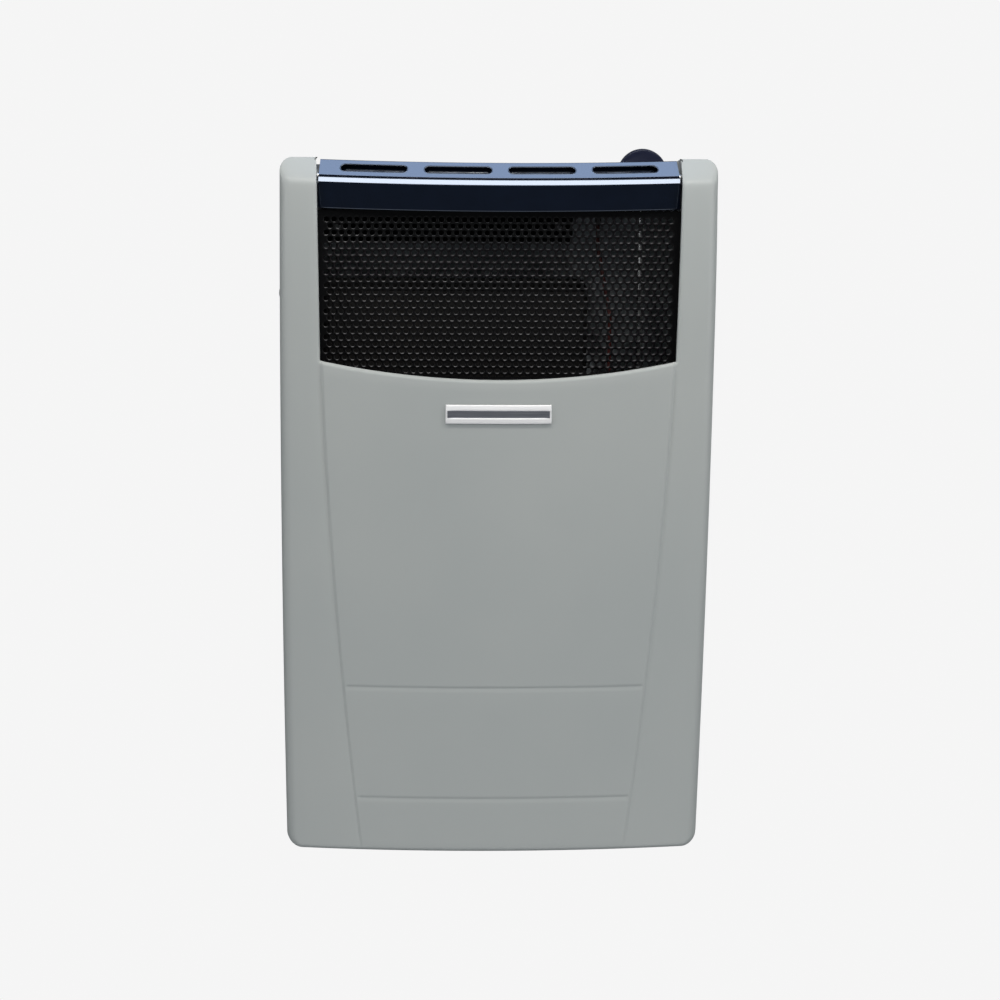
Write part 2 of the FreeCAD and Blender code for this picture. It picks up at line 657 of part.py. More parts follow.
def visor_slot(x):
    """A cutter with round ends, square to the sloping top, swung round to its place."""
    slope = math.atan2(VISOR_TOP_RISE, VISOR_TOP_RUN)
    straight = (SLOT_LENGTH - SLOT_WIDTH) / 2
    cutter = box(-straight, straight, -SLOT_WIDTH / 2, SLOT_WIDTH / 2, -OVERRUN, OVERRUN)
    for end in (-straight, straight):
        cutter = cutter.fuse(pin(Vector(end, 0, -OVERRUN), ALONG_Z, SLOT_WIDTH / 2, 2 * OVERRUN))
    cutter = cutter.removeSplitter()
    cutter.rotate(Vector(0, 0, 0), ALONG_X, math.degrees(slope))
    middle_y = -VISOR_FRONT_DEPTH + VISOR_BEVEL_RUN + VISOR_TOP_RUN / 2
    cutter.translate(Vector(0, middle_y, VISOR_CREASE + VISOR_TOP_RISE / 2))
    turn = math.degrees(math.asin(x / (VISOR_AXIS_Y - middle_y)))
    cutter.rotate(Vector(0, VISOR_AXIS_Y, 0), ALONG_Z, turn)
    return cutter


def visor_screw_depth():
    return -VISOR_FRONT_DEPTH + VISOR_BOW + VISOR_REAR_SETBACK - VISOR_SCREW_SETBACK


def visor_screw_lean():
    """How far the drawn-in end leans across the radius of a screw head."""
    return SCREW_HEAD_RADIUS * VISOR_END_TAPER / VISOR_REAR_SETBACK + RUNNING_GAP


def visor_screw_seat(side):
    y = visor_screw_depth()
    inner = visor_end(y) - SHEET - visor_screw_lean()
    return Vector(side * inner, y, VISOR_REAR_TOP - VISOR_SCREW_DROP)


def visor_gap():
    """Room between the visor's end and the cheek at the screw."""
    return notch_half(VISOR_REAR_TOP - VISOR_SCREW_DROP) - visor_end(visor_screw_depth())


def visor_screw_hole(side):
    return screw_hole(visor_screw_seat(side), ALONG_X * side, 2 * SHEET + visor_gap())


def visor_screws():
    length = 3 * SHEET + visor_gap()
    return Part.Compound([screw(visor_screw_seat(side), ALONG_X * side, length) for side in (-1, 1)])


def visor_spacers():
    rings = []
    lean = visor_screw_lean()
    for side in (-1, 1):
        start = visor_screw_seat(side) + ALONG_X * (side * (SHEET + 2 * lean))
        inner = SCREW_RADIUS + SCREW_GAP
        length = visor_gap() - lean - 2 * RUNNING_GAP
        rings.append(collar(start, ALONG_X * side, SCREW_HEAD_RADIUS, inner, length))
    return Part.Compound(rings)


def cover_half():
    return notch_half(COVER_TOP) - FIT_GAP


def top_cover():
    half = cover_half()
    rear = -2 * THIN_SHEET
    low = COVER_TOP - THIN_SHEET
    inner_radius = VISOR_RADIUS - VISOR_REAR_SETBACK - FIT_GAP
    foot = Vector(0, VISOR_AXIS_Y, 0)
    plate = box(-half, half, -VISOR_FRONT_DEPTH, -THIN_SHEET, low, COVER_TOP)
    sides = [box(x, x + THIN_SHEET, -VISOR_FRONT_DEPTH, rear, COVER_TOP - COVER_FLANGE, COVER_TOP)
             for x in (-half, half - THIN_SHEET)]
    front_cut = Part.makeCylinder(inner_radius, RIDGE_HEIGHT, foot)
    flange = box(-half, half, rear, -THIN_SHEET, COVER_TOP - COVER_FLANGE, COVER_TOP)
    sides = [side.common(front_cut) for side in sides]
    cover = united([plate.common(front_cut), flange] + sides)
    cover = cover.cut(pin(Vector(CONTROL_X, CONTROL_Y, 0), ALONG_Z, BUSH_RADIUS, RIDGE_HEIGHT))
    cover = cover.cut(pin(Vector(PIEZO_X, CONTROL_Y, 0), ALONG_Z, PIEZO_RADIUS + SCREW_GAP, RIDGE_HEIGHT))
    for place in cover_screw_places():
        cover = cover.cut(screw_hole(place, ALONG_Y, THIN_SHEET))
    return cover


def cover_screw_places():
    height = (COVER_TOP - COVER_FLANGE + BACK_TOP) / 2
    return [Vector(x, -2 * THIN_SHEET, height) for x in (-cover_half() / 2, 0, cover_half() / 2)]


def cover_screws():
    return Part.Compound([screw(place, ALONG_Y, -place.y) for place in cover_screw_places()])


def grille():
    """Flat perforated sheet: staggered six-sided holes inside the opening."""
    sheet = notch_prism(GRILLE_MARGIN, GRILLE_TOP, -GRILLE_DEPTH, -GRILLE_DEPTH + GRILLE_THICKNESS)
    front = next(face for face in sheet.Faces if abs(face.CenterOfMass.y + GRILLE_DEPTH) < RUNNING_GAP)
    holes = []
    row_pitch = HOLE_PITCH * math.sqrt(3) / 2
    top = VISOR_LIP_HEIGHT - HOLE_BORDER - HOLE_RADIUS
    row = 0
    while top - row * row_pitch > NOTCH_LOW_POINT:
        height = top - row * row_pitch
        half = notch_half(height) - HOLE_BORDER - HOLE_RADIUS
        count = int(half / HOLE_PITCH) + 1
        shift = HOLE_PITCH / 2 * (row % 2)
        for column in range(-count, count + 1):
            x = column * HOLE_PITCH + shift
            clear_floor = height - HOLE_RADIUS - HOLE_BORDER > notch_floor(x)
            if abs(x) < half and clear_floor:
                holes.append(hole_outline(Vector(x, -GRILLE_DEPTH, height)))
        row += 1
    face = Part.Face([front.OuterWire] + holes)
    face.validate()
    plate = face.extrude(ALONG_Y * GRILLE_THICKNESS)
    for place in grille_screw_places():
        plate = plate.cut(screw_hole(place, ALONG_Y * -1, SHEET))
    return plate


def hole_outline(middle):
    circle = Part.Circle(middle, ALONG_Y, HOLE_RADIUS)
    corners = [circle.value((index + 0.5) * math.pi / 3) for index in range(6)]
    return Part.makePolygon(corners + corners[:1])


def grille_screw_places():
    """Rear seats of the screws that hold the grille to the collar's flange."""
    rear = -GRILLE_DEPTH + GRILLE_THICKNESS
    out = SHEET + GRILLE_MARGIN / 2
    places = []
    for side in (-1, 1):
        places += [Vector(side * (notch_half(z) + out), rear, z) for z in GRILLE_SCREW_HEIGHTS]
    low = notch_floor(GRILLE_SCREW_SPREAD) - out
    return places + [Vector(side * GRILLE_SCREW_SPREAD, rear, low) for side in (-1, 1)]


def grille_screws():
    length = GRILLE_THICKNESS + 2 * SHEET
    return Part.Compound([screw(place, ALONG_Y * -1, length) for place in grille_screw_places()])


def back_outline(inset):
    """Outline of the back panel, parallel to the casing's sides."""
    gap = SHEET + FIT_GAP + inset
    low, top = BACK_BOTTOM + inset, BACK_TOP
    middle = (low + top) / 2
    low_right = Vector(side_half(low) - gap - BOTTOM_CORNER_RADIUS, 0, low)
    knee_right = Vector(side_half(low + BOTTOM_CORNER_RADIUS) - gap, 0, low + BOTTOM_CORNER_RADIUS)
    mid_right = Vector(side_half(middle) - gap, 0, middle)
    top_right = Vector(side_half(top) - gap, 0, top)
    right = [low_right, knee_right, mid_right, top_right]
    left = [Vector(-p.x, p.y, p.z) for p in right]
    return Part.Face(Part.Wire([
        Part.LineSegment(left[0], right[0]).toShape(),
        Part.LineSegment(right[0], right[1]).toShape(),
        Part.Arc(right[1], right[2], right[3]).toShape(),
        Part.LineSegment(right[3], left[3]).toShape(),
        Part.Arc(left[3], left[2], left[1]).toShape(),
        Part.LineSegment(left[1], left[0]).toShape(),
    ]))


def back_panel():
    tray = back_outline(0).extrude(ALONG_Y * -BACK_FLANGE)
    hollow = back_outline(THIN_SHEET).extrude(ALONG_Y * -(BACK_FLANGE + OVERRUN))
    hollow.translate(ALONG_Y * -THIN_SHEET)
    panel = tray.cut(hollow)
    for side in (-1, 1):
        for height in (WALL_HOLE_LOW, WALL_HOLE_HIGH):
            start = Vector(side * WALL_HOLE_SPREAD, -OVERRUN, height)
            panel = panel.cut(pin(start, ALONG_Y, WALL_HOLE_RADIUS, 2 * OVERRUN))
    for seat, direction in casing_screw_places():
        panel = panel.cut(screw_hole(seat, direction, SHEET + THIN_SHEET))
    for place in cover_screw_places() + chassis_screw_places():
        panel = panel.cut(screw_hole(place, ALONG_Y, THIN_SHEET))
    return panel


def hat_sheet(left, right, foot_y, plate_y, low, top, thickness):
    """A sheet folded to a hat section: a plate, two sides and two feet."""
    inner_left, inner_right = left + SHIELD_FOOT, right - SHIELD_FOOT
    points = [(left, foot_y), (inner_left, foot_y), (inner_left, plate_y),
              (inner_right, plate_y), (inner_right, foot_y), (right, foot_y)]
    outline = [Vector(x, y, low) for x, y in bent_strip(points, thickness)]
    return polygon_prism(outline, ALONG_Z * (top - low))


def shield_left():
    return CHAMBER_LEFT + SHIELD_SIDE_INSET - SHIELD_FOOT


def shield_right():
    return CHAMBER_RIGHT - SHIELD_SIDE_INSET + SHIELD_FOOT


def heat_shield():
    foot = -THIN_SHEET
    plate = -SHIELD_STANDOFF + THIN_SHEET
    low = CHAMBER_BOTTOM + SHIELD_END_INSET
    top = CHAMBER_TOP - SHIELD_END_INSET
    shield = hat_sheet(shield_left(), shield_right(), foot, plate, low, top, -THIN_SHEET)
    for seat in shield_seats():
        shield = shield.cut(screw_hole(seat, ALONG_Y, THIN_SHEET))
    return shield


def shield_seats():
    """Seats of the screws in the feet of the rear heat shield."""
    across = (shield_left() + SHIELD_FOOT / 2, shield_right() - SHIELD_FOOT / 2)
    heights = (CHAMBER_BOTTOM + 2 * SHIELD_END_INSET, CHAMBER_TOP - 2 * SHIELD_END_INSET)
    return [Vector(x, -2 * THIN_SHEET, z) for x in across for z in heights]


def front_heat_shield():
    foot = -CHAMBER_FRONT_DEPTH
    plate = foot - FRONT_SHIELD_STANDOFF + THIN_SHEET
    low = CHAMBER_BOTTOM + SHIELD_END_INSET
    left = shield_left() + CHAMBER_CORNER
    right = shield_right() - CHAMBER_CORNER
    return hat_sheet(left, right, foot, plate, low, FRONT_SHIELD_TOP, -THIN_SHEET)


def rounded_tube_block(inset, low, top):
    block = box(CHAMBER_LEFT + inset, CHAMBER_RIGHT - inset, inset - CHAMBER_FRONT_DEPTH,
                -CHAMBER_BACK_DEPTH - inset, low, top)
    upright = [edge for edge in block.Edges if abs(edge.tangentAt(0).z) > 0.9]
    return block.makeFillet(CHAMBER_CORNER - inset, upright)


def heat_chamber():
    """Folded sheet duct round the flame, open below and above."""
    outer = rounded_tube_block(0, CHAMBER_BOTTOM, CHAMBER_TOP)
    return outer.cut(rounded_tube_block(SHEET, CHAMBER_BOTTOM - OVERRUN, CHAMBER_TOP + OVERRUN))


def chamber_brackets():
    """Four folded brackets between the rear shield and the chamber."""
    middle_x = (CHAMBER_LEFT + CHAMBER_RIGHT) / 2
    middle_z = (CHAMBER_BOTTOM + CHAMBER_TOP) / 2
    back, front = -SHIELD_STANDOFF, -CHAMBER_BACK_DEPTH
    pieces = []
    for side in (-1, 1):
        for level in (-1, 1):
            x = middle_x + side * BRACKET_SPREAD
            z = middle_z + level * BRACKET_RISE - BRACKET_WIDTH / 2
            foot = box(x - BRACKET_LEG, x, back - SHEET, back, z, z + BRACKET_WIDTH)
            web = box(x - SHEET, x, front, back, z, z + BRACKET_WIDTH)
            head = box(x - SHEET, x + BRACKET_LEG, front, front + SHEET, z, z + BRACKET_WIDTH)
            pieces.append(united([foot, web, head]))
    return Part.Compound(pieces)


def hot_air_deflector():
    """Sheet that stands on the back panel and bends forward over the chamber."""
    back = -THIN_SHEET
    bend_foot = DEFLECTOR_TOP - DEFLECTOR_BEND
    left = deflector_left()
    inner = DEFLECTOR_BEND - THIN_SHEET
    centre = Vector(left, back - DEFLECTOR_BEND, bend_foot)

    def at(radius, turn):
        return centre + Vector(0, math.cos(turn) * radius, math.sin(turn) * radius)

    def place(y, z):
        return Vector(left, y, z)

    eighth, quarter = math.pi / 4, math.pi / 2
    outline = Part.Wire([
        Part.LineSegment(place(back, DEFLECTOR_FOOT), at(DEFLECTOR_BEND, 0)).toShape(),
        Part.Arc(at(DEFLECTOR_BEND, 0), at(DEFLECTOR_BEND, eighth), at(DEFLECTOR_BEND, quarter)).toShape(),
        Part.LineSegment(at(DEFLECTOR_BEND, quarter), place(-DEFLECTOR_REACH, DEFLECTOR_TOP)).toShape(),
        Part.LineSegment(place(-DEFLECTOR_REACH, DEFLECTOR_TOP),
                         place(-DEFLECTOR_REACH, DEFLECTOR_TOP - THIN_SHEET)).toShape(),
        Part.LineSegment(place(-DEFLECTOR_REACH, DEFLECTOR_TOP - THIN_SHEET), at(inner, quarter)).toShape(),
        Part.Arc(at(inner, quarter), at(inner, eighth), at(inner, 0)).toShape(),
        Part.LineSegment(at(inner, 0), place(back - THIN_SHEET, DEFLECTOR_FOOT)).toShape(),
        Part.LineSegment(place(back - THIN_SHEET, DEFLECTOR_FOOT), place(back, DEFLECTOR_FOOT)).toShape(),
    ])
    sheet = Part.Face(outline).extrude(ALONG_X * (deflector_right() - left))
    for seat in deflector_seats():
        sheet = sheet.cut(screw_hole(seat, ALONG_Y, THIN_SHEET))
    return sheet


def deflector_left():
    return CHAMBER_LEFT + DEFLECTOR_SIDE_INSET


def deflector_right():
    return CHAMBER_RIGHT - DEFLECTOR_SIDE_INSET


def deflector_seats():
    height = DEFLECTOR_FOOT + SHIELD_FOOT
    across = (deflector_left() + SHIELD_FOOT, deflector_right() - SHIELD_FOOT)
    return [Vector(x, -2 * THIN_SHEET, height) for x in across]


def burner_axis(x):
    return Vector(x, CONTROL_Y, BURNER_HEIGHT)


def burner_tube():
    length = BURNER_RIGHT - BURNER_LEFT
    tube = collar(burner_axis(BURNER_LEFT), ALONG_X, BURNER_RADIUS, BURNER_RADIUS - THIN_SHEET, length)
    first = (BURNER_LEFT + BURNER_RIGHT - (PORT_COUNT - 1) * PORT_PITCH) / 2
    low = BURNER_HEIGHT + BURNER_RADIUS - PORT_DEPTH
    for index in range(PORT_COUNT):
        x = first + index * PORT_PITCH - PORT_WIDTH / 2
        tube = tube.cut(box(x, x + PORT_WIDTH, CONTROL_Y - BURNER_RADIUS, CONTROL_Y + BURNER_RADIUS,
                            low, BURNER_HEIGHT + BURNER_RADIUS + OVERRUN))
    return tube


def burner_cap():
    outer = BURNER_RADIUS + RUNNING_GAP + THIN_SHEET
    cup = pin(burner_axis(BURNER_LEFT - THIN_SHEET), ALONG_X, outer, CAP_LENGTH)
    return cup.cut(pin(burner_axis(BURNER_LEFT), ALONG_X, BURNER_RADIUS + RUNNING_GAP, CAP_LENGTH))


def burner_venturi():
    """A flared mixing tube: wide mouth, narrow throat, and a spigot inside the burner."""
    spigot = BURNER_RADIUS - 2 * THIN_SHEET - RUNNING_GAP
    inner = [(VENTURI_MOUTH_X, VENTURI_MOUTH_RADIUS), (VENTURI_THROAT_X, VENTURI_THROAT_RADIUS),
             (BURNER_RIGHT, spigot), (BURNER_RIGHT - VENTURI_INSERTION, spigot)]
    outline = bent_strip(inner, -THIN_SHEET)
    wall = Part.Face(Part.makePolygon([burner_axis(x) + ALONG_Z * r for x, r in outline + outline[:1]]))
    return wall.revolve(burner_axis(0), ALONG_X, 360)


def injector():
    nut = hexagon(burner_axis(VALVE_LEFT), ALONG_X * -1, INJECTOR_HEX_RADIUS, INJECTOR_HEX_LENGTH)
    tip = burner_axis(VALVE_LEFT - INJECTOR_HEX_LENGTH)
    nozzle = pin(tip, ALONG_X * -1, INJECTOR_NOZZLE_RADIUS, INJECTOR_NOZZLE_LENGTH)
    return united([nut, nozzle])


def burner_brackets():
    """Two upright plates, each with a flange on the back panel and a hole for the burner."""
    low, top = BURNER_HEIGHT - BURNER_BRACKET_HALF, BURNER_HEIGHT + BURNER_BRACKET_HALF
    front = CONTROL_Y - BURNER_BRACKET_HALF
    pieces = []
    for x in BURNER_BRACKET_PLACES:
        web = box(x, x + SHEET, front, -THIN_SHEET, low, top)
        foot = box(x, x + BURNER_BRACKET_LEG, -THIN_SHEET - SHEET, -THIN_SHEET, low, top)
        bracket = united([web, foot])
        seat_hole = pin(burner_axis(x - OVERRUN), ALONG_X, BURNER_RADIUS + RUNNING_GAP, 2 * OVERRUN)
        bracket = bracket.cut(seat_hole)
        pieces.append(bracket.cut(screw_hole(burner_bracket_seat(x), ALONG_Y, SHEET)))
    return Part.Compound(pieces)


def burner_bracket_seat(x):
    return Vector(x + (SHEET + BURNER_BRACKET_LEG) / 2, -THIN_SHEET - SHEET, BURNER_HEIGHT)


def control_axis(z):
    return Vector(CONTROL_X, CONTROL_Y, z)


def gas_valve():
    """Cast valve body with a neck that carries the turning plug driver."""
    body = box(VALVE_LEFT, VALVE_LEFT + VALVE_WIDTH, VALVE_FRONT, VALVE_BACK, VALVE_BOTTOM, VALVE_TOP)
    body = body.makeFillet(VALVE_EDGE, [e for e in body.Edges if abs(e.tangentAt(0).z) > 0.9])
    body = body.fuse(pin(control_axis(VALVE_TOP - VALVE_EDGE), ALONG_Z, VALVE_NECK_RADIUS,
                         VALVE_NECK_HEIGHT + VALVE_EDGE)).removeSplitter()
    bore = pin(control_axis(DRIVER_FLOOR), ALONG_Z, DRIVER_RADIUS + RUNNING_GAP, VALVE_TOP)
    return body.cut(bore)


def plug_driver():
    """Sleeve that turns in the valve's neck; the control rod slides in its bore."""
    stem_foot = DRIVER_FLOOR + FIT_GAP
    head_foot = NECK_TOP + FIT_GAP
    stem = pin(control_axis(stem_foot), ALONG_Z, DRIVER_RADIUS, head_foot - stem_foot)
    head = pin(control_axis(head_foot), ALONG_Z, DRIVER_HEAD_RADIUS, DRIVER_HEAD_HEIGHT)
    bore = pin(control_axis(DRIVER_BORE_FLOOR), ALONG_Z, ROD_RADIUS + RUNNING_GAP, VALVE_TOP)
    return united([stem, head]).cut(bore)


def control_rod():
    return pin(control_axis(ROD_FOOT), ALONG_Z, ROD_RADIUS, FIN_TOP - ROD_TOP_COVER - ROD_FOOT)


def rod_bush():
    """Flanged bush in the top cover that guides the rod."""
    sleeve = pin(control_axis(COVER_TOP + BUSH_FLANGE - BUSH_LENGTH), ALONG_Z, BUSH_RADIUS, BUSH_LENGTH)
    flange = pin(control_axis(COVER_TOP), ALONG_Z, BUSH_FLANGE_RADIUS, BUSH_FLANGE)
    bore = pin(control_axis(COVER_TOP - BUSH_LENGTH - OVERRUN), ALONG_Z, ROD_RADIUS + RUNNING_GAP,
               BUSH_LENGTH + BUSH_FLANGE + 2 * OVERRUN)
    return united([sleeve, flange]).cut(bore)


def control_knob():
    """Round base with a half-moon grip across it, parallel to the wall at rest."""
    base = pin(control_axis(KNOB_BASE_BOTTOM), ALONG_Z, KNOB_BASE_RADIUS, KNOB_BASE_HEIGHT)
    base = base.makeFillet(KNOB_BASE_EDGE, [e for e in base.Edges if e.CenterOfMass.z > KNOB_BASE_BOTTOM
                                            and e.isClosed()])
    start = Vector(CONTROL_X, CONTROL_Y - FIN_THICKNESS / 2, FIN_TOP - FIN_RADIUS)
    fin = pin(start, ALONG_Y, FIN_RADIUS, FIN_THICKNESS)
    fin = fin.makeFillet(FIN_EDGE, [e for e in fin.Edges if e.isClosed()])
    reach = FIN_RADIUS + OVERRUN
    fin_foot = KNOB_BASE_BOTTOM + KNOB_BASE_HEIGHT / 2
    fin = fin.common(box(CONTROL_X - reach, CONTROL_X + reach, CONTROL_Y - reach, CONTROL_Y + reach,
                         fin_foot, FIN_TOP + OVERRUN))
    bore = pin(control_axis(COVER_TOP), ALONG_Z, ROD_RADIUS, FIN_TOP - ROD_TOP_COVER - COVER_TOP)
    return united([base, fin]).cut(bore)


def supply_tube():
    low = INLET_FOOT + INLET_THREAD_LENGTH
    length = VALVE_BOTTOM - low
    return collar(control_axis(low), ALONG_Z, SUPPLY_RADIUS, SUPPLY_RADIUS - SUPPLY_WALL, length)


def inlet_fitting():
    """Threaded gas connection that points down, with a hexagon and a spigot."""
    thread = pin(control_axis(INLET_FOOT), ALONG_Z, INLET_THREAD_RADIUS, INLET_THREAD_LENGTH)
    nut_foot = control_axis(INLET_FOOT + INLET_THREAD_LENGTH)
    nut = hexagon(nut_foot, ALONG_Z, INLET_HEX_RADIUS, INLET_HEX_HEIGHT)
    spigot = pin(control_axis(INLET_HEX_TOP), ALONG_Z, INLET_SPIGOT_RADIUS, INLET_SPIGOT_HEIGHT)
    bore = pin(control_axis(0), ALONG_Z, INLET_BORE_RADIUS + RUNNING_GAP, VALVE_BOTTOM)
    return united([thread, nut, spigot]).cut(bore)


def inlet_locknut():
    nut = hexagon(control_axis(INLET_HEX_TOP + SHEET), ALONG_Z, LOCKNUT_RADIUS, LOCKNUT_HEIGHT)
    return nut.cut(pin(control_axis(0), ALONG_Z, INLET_SPIGOT_RADIUS + RUNNING_GAP, VALVE_BOTTOM))


def inlet_bracket():
    """Shelf on the back panel that holds the gas connection."""
    half = INLET_BRACKET_HALF
    left, right = CONTROL_X - half, CONTROL_X + half
    low = INLET_HEX_TOP
    shelf = box(left, right, CONTROL_Y - half, -THIN_SHEET, low, low + SHEET)
    foot = box(left, right, -THIN_SHEET - SHEET, -THIN_SHEET, low, low + BRACKET_FLANGE)
    bracket = united([shelf, foot])
    bracket = bracket.cut(pin(control_axis(0), ALONG_Z, INLET_SPIGOT_RADIUS + FIT_GAP, VALVE_BOTTOM))
    for seat in inlet_bracket_seats():
        bracket = bracket.cut(screw_hole(seat, ALONG_Y, SHEET))
    return bracket


def inlet_bracket_seats():
    height = INLET_HEX_TOP + SHEET + (BRACKET_FLANGE - SHEET) / 2
    across = (CONTROL_X - INLET_BRACKET_HALF / 2, CONTROL_X + INLET_BRACKET_HALF / 2)
    return [Vector(x, -THIN_SHEET - SHEET, height) for x in across]


def valve_bracket():
    """Channel between the back panel and the back of the valve."""
    left, right = VALVE_LEFT, VALVE_LEFT + VALVE_WIDTH
    low = VALVE_BOTTOM + BRACKET_FLANGE / 2
    top = VALVE_TOP - BRACKET_FLANGE / 2
    back, front = -THIN_SHEET, VALVE_BACK
    foot = box(left, right, back - SHEET, back, low, top)
    web = box(left, left + SHEET, front, back, low, top)
    head = box(left, right, front, front + SHEET, low, top)
    bracket = united([foot, web, head])
    for seat in valve_bracket_seats():
        bracket = bracket.cut(screw_hole(seat, ALONG_Y, SHEET))
    return bracket


def valve_bracket_seats():
    height = (VALVE_BOTTOM + VALVE_TOP) / 2
    return [Vector(CONTROL_X + side * VALVE_WIDTH / 4, -THIN_SHEET - SHEET, height) for side in (0, 1)]


def chassis_screw_places():
    """Seats of the screws that hold brackets, shield and deflector to the back panel."""
    seats = [burner_bracket_seat(x) for x in BURNER_BRACKET_PLACES]
    return seats + inlet_bracket_seats() + valve_bracket_seats() + shield_seats() + deflector_seats()


def chassis_screws():
    """Each screw ends flush with the wall side of the back panel."""
    return Part.Compound([screw(seat, ALONG_Y, -seat.y) for seat in chassis_screw_places()])


def pilot_bracket():
    """Shelf on the right burner bracket for the pilot, the thermocouple and the electrode."""
    left = BURNER_BRACKET_PLACES[-1] + SHEET
    rear = -PILOT_DEPTH + PILOT_PLATE_HALF
    front = -PILOT_DEPTH - PILOT_PLATE_HALF
    low = PILOT_PLATE_HEIGHT
    shelf = box(left, PILOT_PLATE_END, front, rear, low, low + SHEET)
    ear = box(left, left + SHEET, front, rear, low, low + PILOT_EAR)
    bracket = united([shelf, ear])
    seats = ((PILOT_X, PILOT_RADIUS), (THERMOCOUPLE_X, PROBE_RADIUS), (ELECTRODE_X, ELECTRODE_RADIUS))
    for x, radius in seats:
        bracket = bracket.cut(pin(pilot_axis(x, 0), ALONG_Z, radius + RUNNING_GAP, VALVE_TOP))
    return bracket


def pilot_axis(x, z):
    return Vector(x, -PILOT_DEPTH, z)


def pilot_burner():
    low = PILOT_PLATE_HEIGHT - PILOT_DROP
    top = PILOT_PLATE_HEIGHT + PILOT_RISE
    body = pin(pilot_axis(PILOT_X, low), ALONG_Z, PILOT_RADIUS, top - low)
    rings = []
    for foot in (top - PILOT_HOOD_HEIGHT, PILOT_PLATE_HEIGHT + SHEET):
        rings.append(pin(pilot_axis(PILOT_X, foot), ALONG_Z, PILOT_HOOD_RADIUS, PILOT_HOOD_HEIGHT))
    return united([body] + rings)


def pilot_tube():
    """Thin gas tube from the front of the valve, under the pilot shelf, up into the pilot burner."""
    low = PILOT_PLATE_HEIGHT - PILOT_DROP
    port_x = CONTROL_X + PILOT_PORT_SHIFT
    front = VALVE_FRONT - PILOT_TUBE_FRONT
    points = [
        pilot_axis(PILOT_X, low),
        pilot_axis(PILOT_X, low - PILOT_TUBE_DROP),
        Vector(port_x, front, low - PILOT_TUBE_DROP),
        Vector(port_x, front, PILOT_PORT_HEIGHT),
        Vector(port_x, VALVE_FRONT, PILOT_PORT_HEIGHT),
    ]
    return bent_tube(points, PILOT_TUBE_RADIUS, TUBE_BEND)


def thermocouple():
    """Probe beside the pilot flame, its nut under the shelf and its lead to the valve."""
    low = PILOT_PLATE_HEIGHT - PROBE_NUT_HEIGHT
    probe = pin(pilot_axis(THERMOCOUPLE_X, low), ALONG_Z, PROBE_RADIUS, PROBE_NUT_HEIGHT + PROBE_RISE)
    nut = pin(pilot_axis(THERMOCOUPLE_X, low), ALONG_Z, PROBE_NUT_RADIUS, PROBE_NUT_HEIGHT)
    port_x = CONTROL_X + LEAD_PORT_SHIFT
    front = VALVE_FRONT - LEAD_FRONT
    turn = low - LEAD_DROP
    points = [
        pilot_axis(THERMOCOUPLE_X, low),
        pilot_axis(THERMOCOUPLE_X, turn),
        Vector(port_x, front, turn),
        Vector(port_x, front, LEAD_PORT_HEIGHT),
        Vector(port_x, VALVE_FRONT, LEAD_PORT_HEIGHT),
    ]
    return united([probe, nut, bent_tube(points, LEAD_RADIUS, TUBE_BEND)])


def spark_electrode():
    low = PILOT_PLATE_HEIGHT - ELECTRODE_DROP
    body = pin(pilot_axis(ELECTRODE_X, low), ALONG_Z, ELECTRODE_RADIUS, ELECTRODE_DROP + ELECTRODE_RISE)
    rest = pilot_axis(ELECTRODE_X, PILOT_PLATE_HEIGHT + SHEET)
    shoulder = pin(rest, ALONG_Z, PROBE_NUT_RADIUS, PROBE_NUT_HEIGHT)
    tip = pin(rest, ALONG_Z, ELECTRODE_TIP_RADIUS, ELECTRODE_TIP_RISE)
    return united([body, shoulder, tip])


def piezo_axis(z):
    return Vector(PIEZO_X, CONTROL_Y, z)


def piezo_top():
    return COVER_TOP + PIEZO_TOP_RISE


def piezo_foot():
    return piezo_top() - PIEZO_LENGTH


def piezo_igniter():
    """Igniter body through the top cover, with a well for the button and a terminal below."""
    body = pin(piezo_axis(piezo_foot()), ALONG_Z, PIEZO_RADIUS, PIEZO_LENGTH)
    rim = pin(piezo_axis(COVER_TOP), ALONG_Z, PIEZO_NUT_RADIUS, PIEZO_TOP_RISE / 2)
    terminal = pin(piezo_axis(piezo_foot() - TERMINAL_LENGTH), ALONG_Z, TERMINAL_RADIUS, TERMINAL_LENGTH)
    well = pin(piezo_axis(piezo_top() - BUTTON_WELL), ALONG_Z, BUTTON_RADIUS + RUNNING_GAP, PIEZO_LENGTH)
    return united([body, rim, terminal]).cut(well)


def piezo_nut():
    low = COVER_TOP - THIN_SHEET - PIEZO_NUT_HEIGHT
    nut = hexagon(piezo_axis(low), ALONG_Z, PIEZO_NUT_RADIUS, PIEZO_NUT_HEIGHT)
    return nut.cut(pin(piezo_axis(0), ALONG_Z, PIEZO_RADIUS + RUNNING_GAP, RIDGE_HEIGHT))


def piezo_button():
    low = piezo_top() - BUTTON_DEPTH
    button = pin(piezo_axis(low), ALONG_Z, BUTTON_RADIUS, BUTTON_DEPTH + BUTTON_RISE)
    upper = [e for e in button.Edges if e.isClosed() and e.CenterOfMass.z > low + BUTTON_EDGE]
    return button.makeFillet(BUTTON_EDGE, upper)


def ignition_lead():
    """Insulated lead from the igniter's terminal, down beside the chamber, to the electrode."""
    top = piezo_foot() - TERMINAL_LENGTH
    low = PILOT_PLATE_HEIGHT - ELECTRODE_DROP
    points = [
        piezo_axis(top),
        piezo_axis(top - IGNITION_SETTLE / 2),
        Vector(IGNITION_X, -IGNITION_DEPTH, top - IGNITION_SETTLE * 2),
        Vector(IGNITION_X, -IGNITION_DEPTH, low - IGNITION_DROP),
        pilot_axis(ELECTRODE_X, low - IGNITION_DROP),
        pilot_axis(ELECTRODE_X, low),
    ]
    return bent_tube(points, IGNITION_RADIUS, IGNITION_BEND)


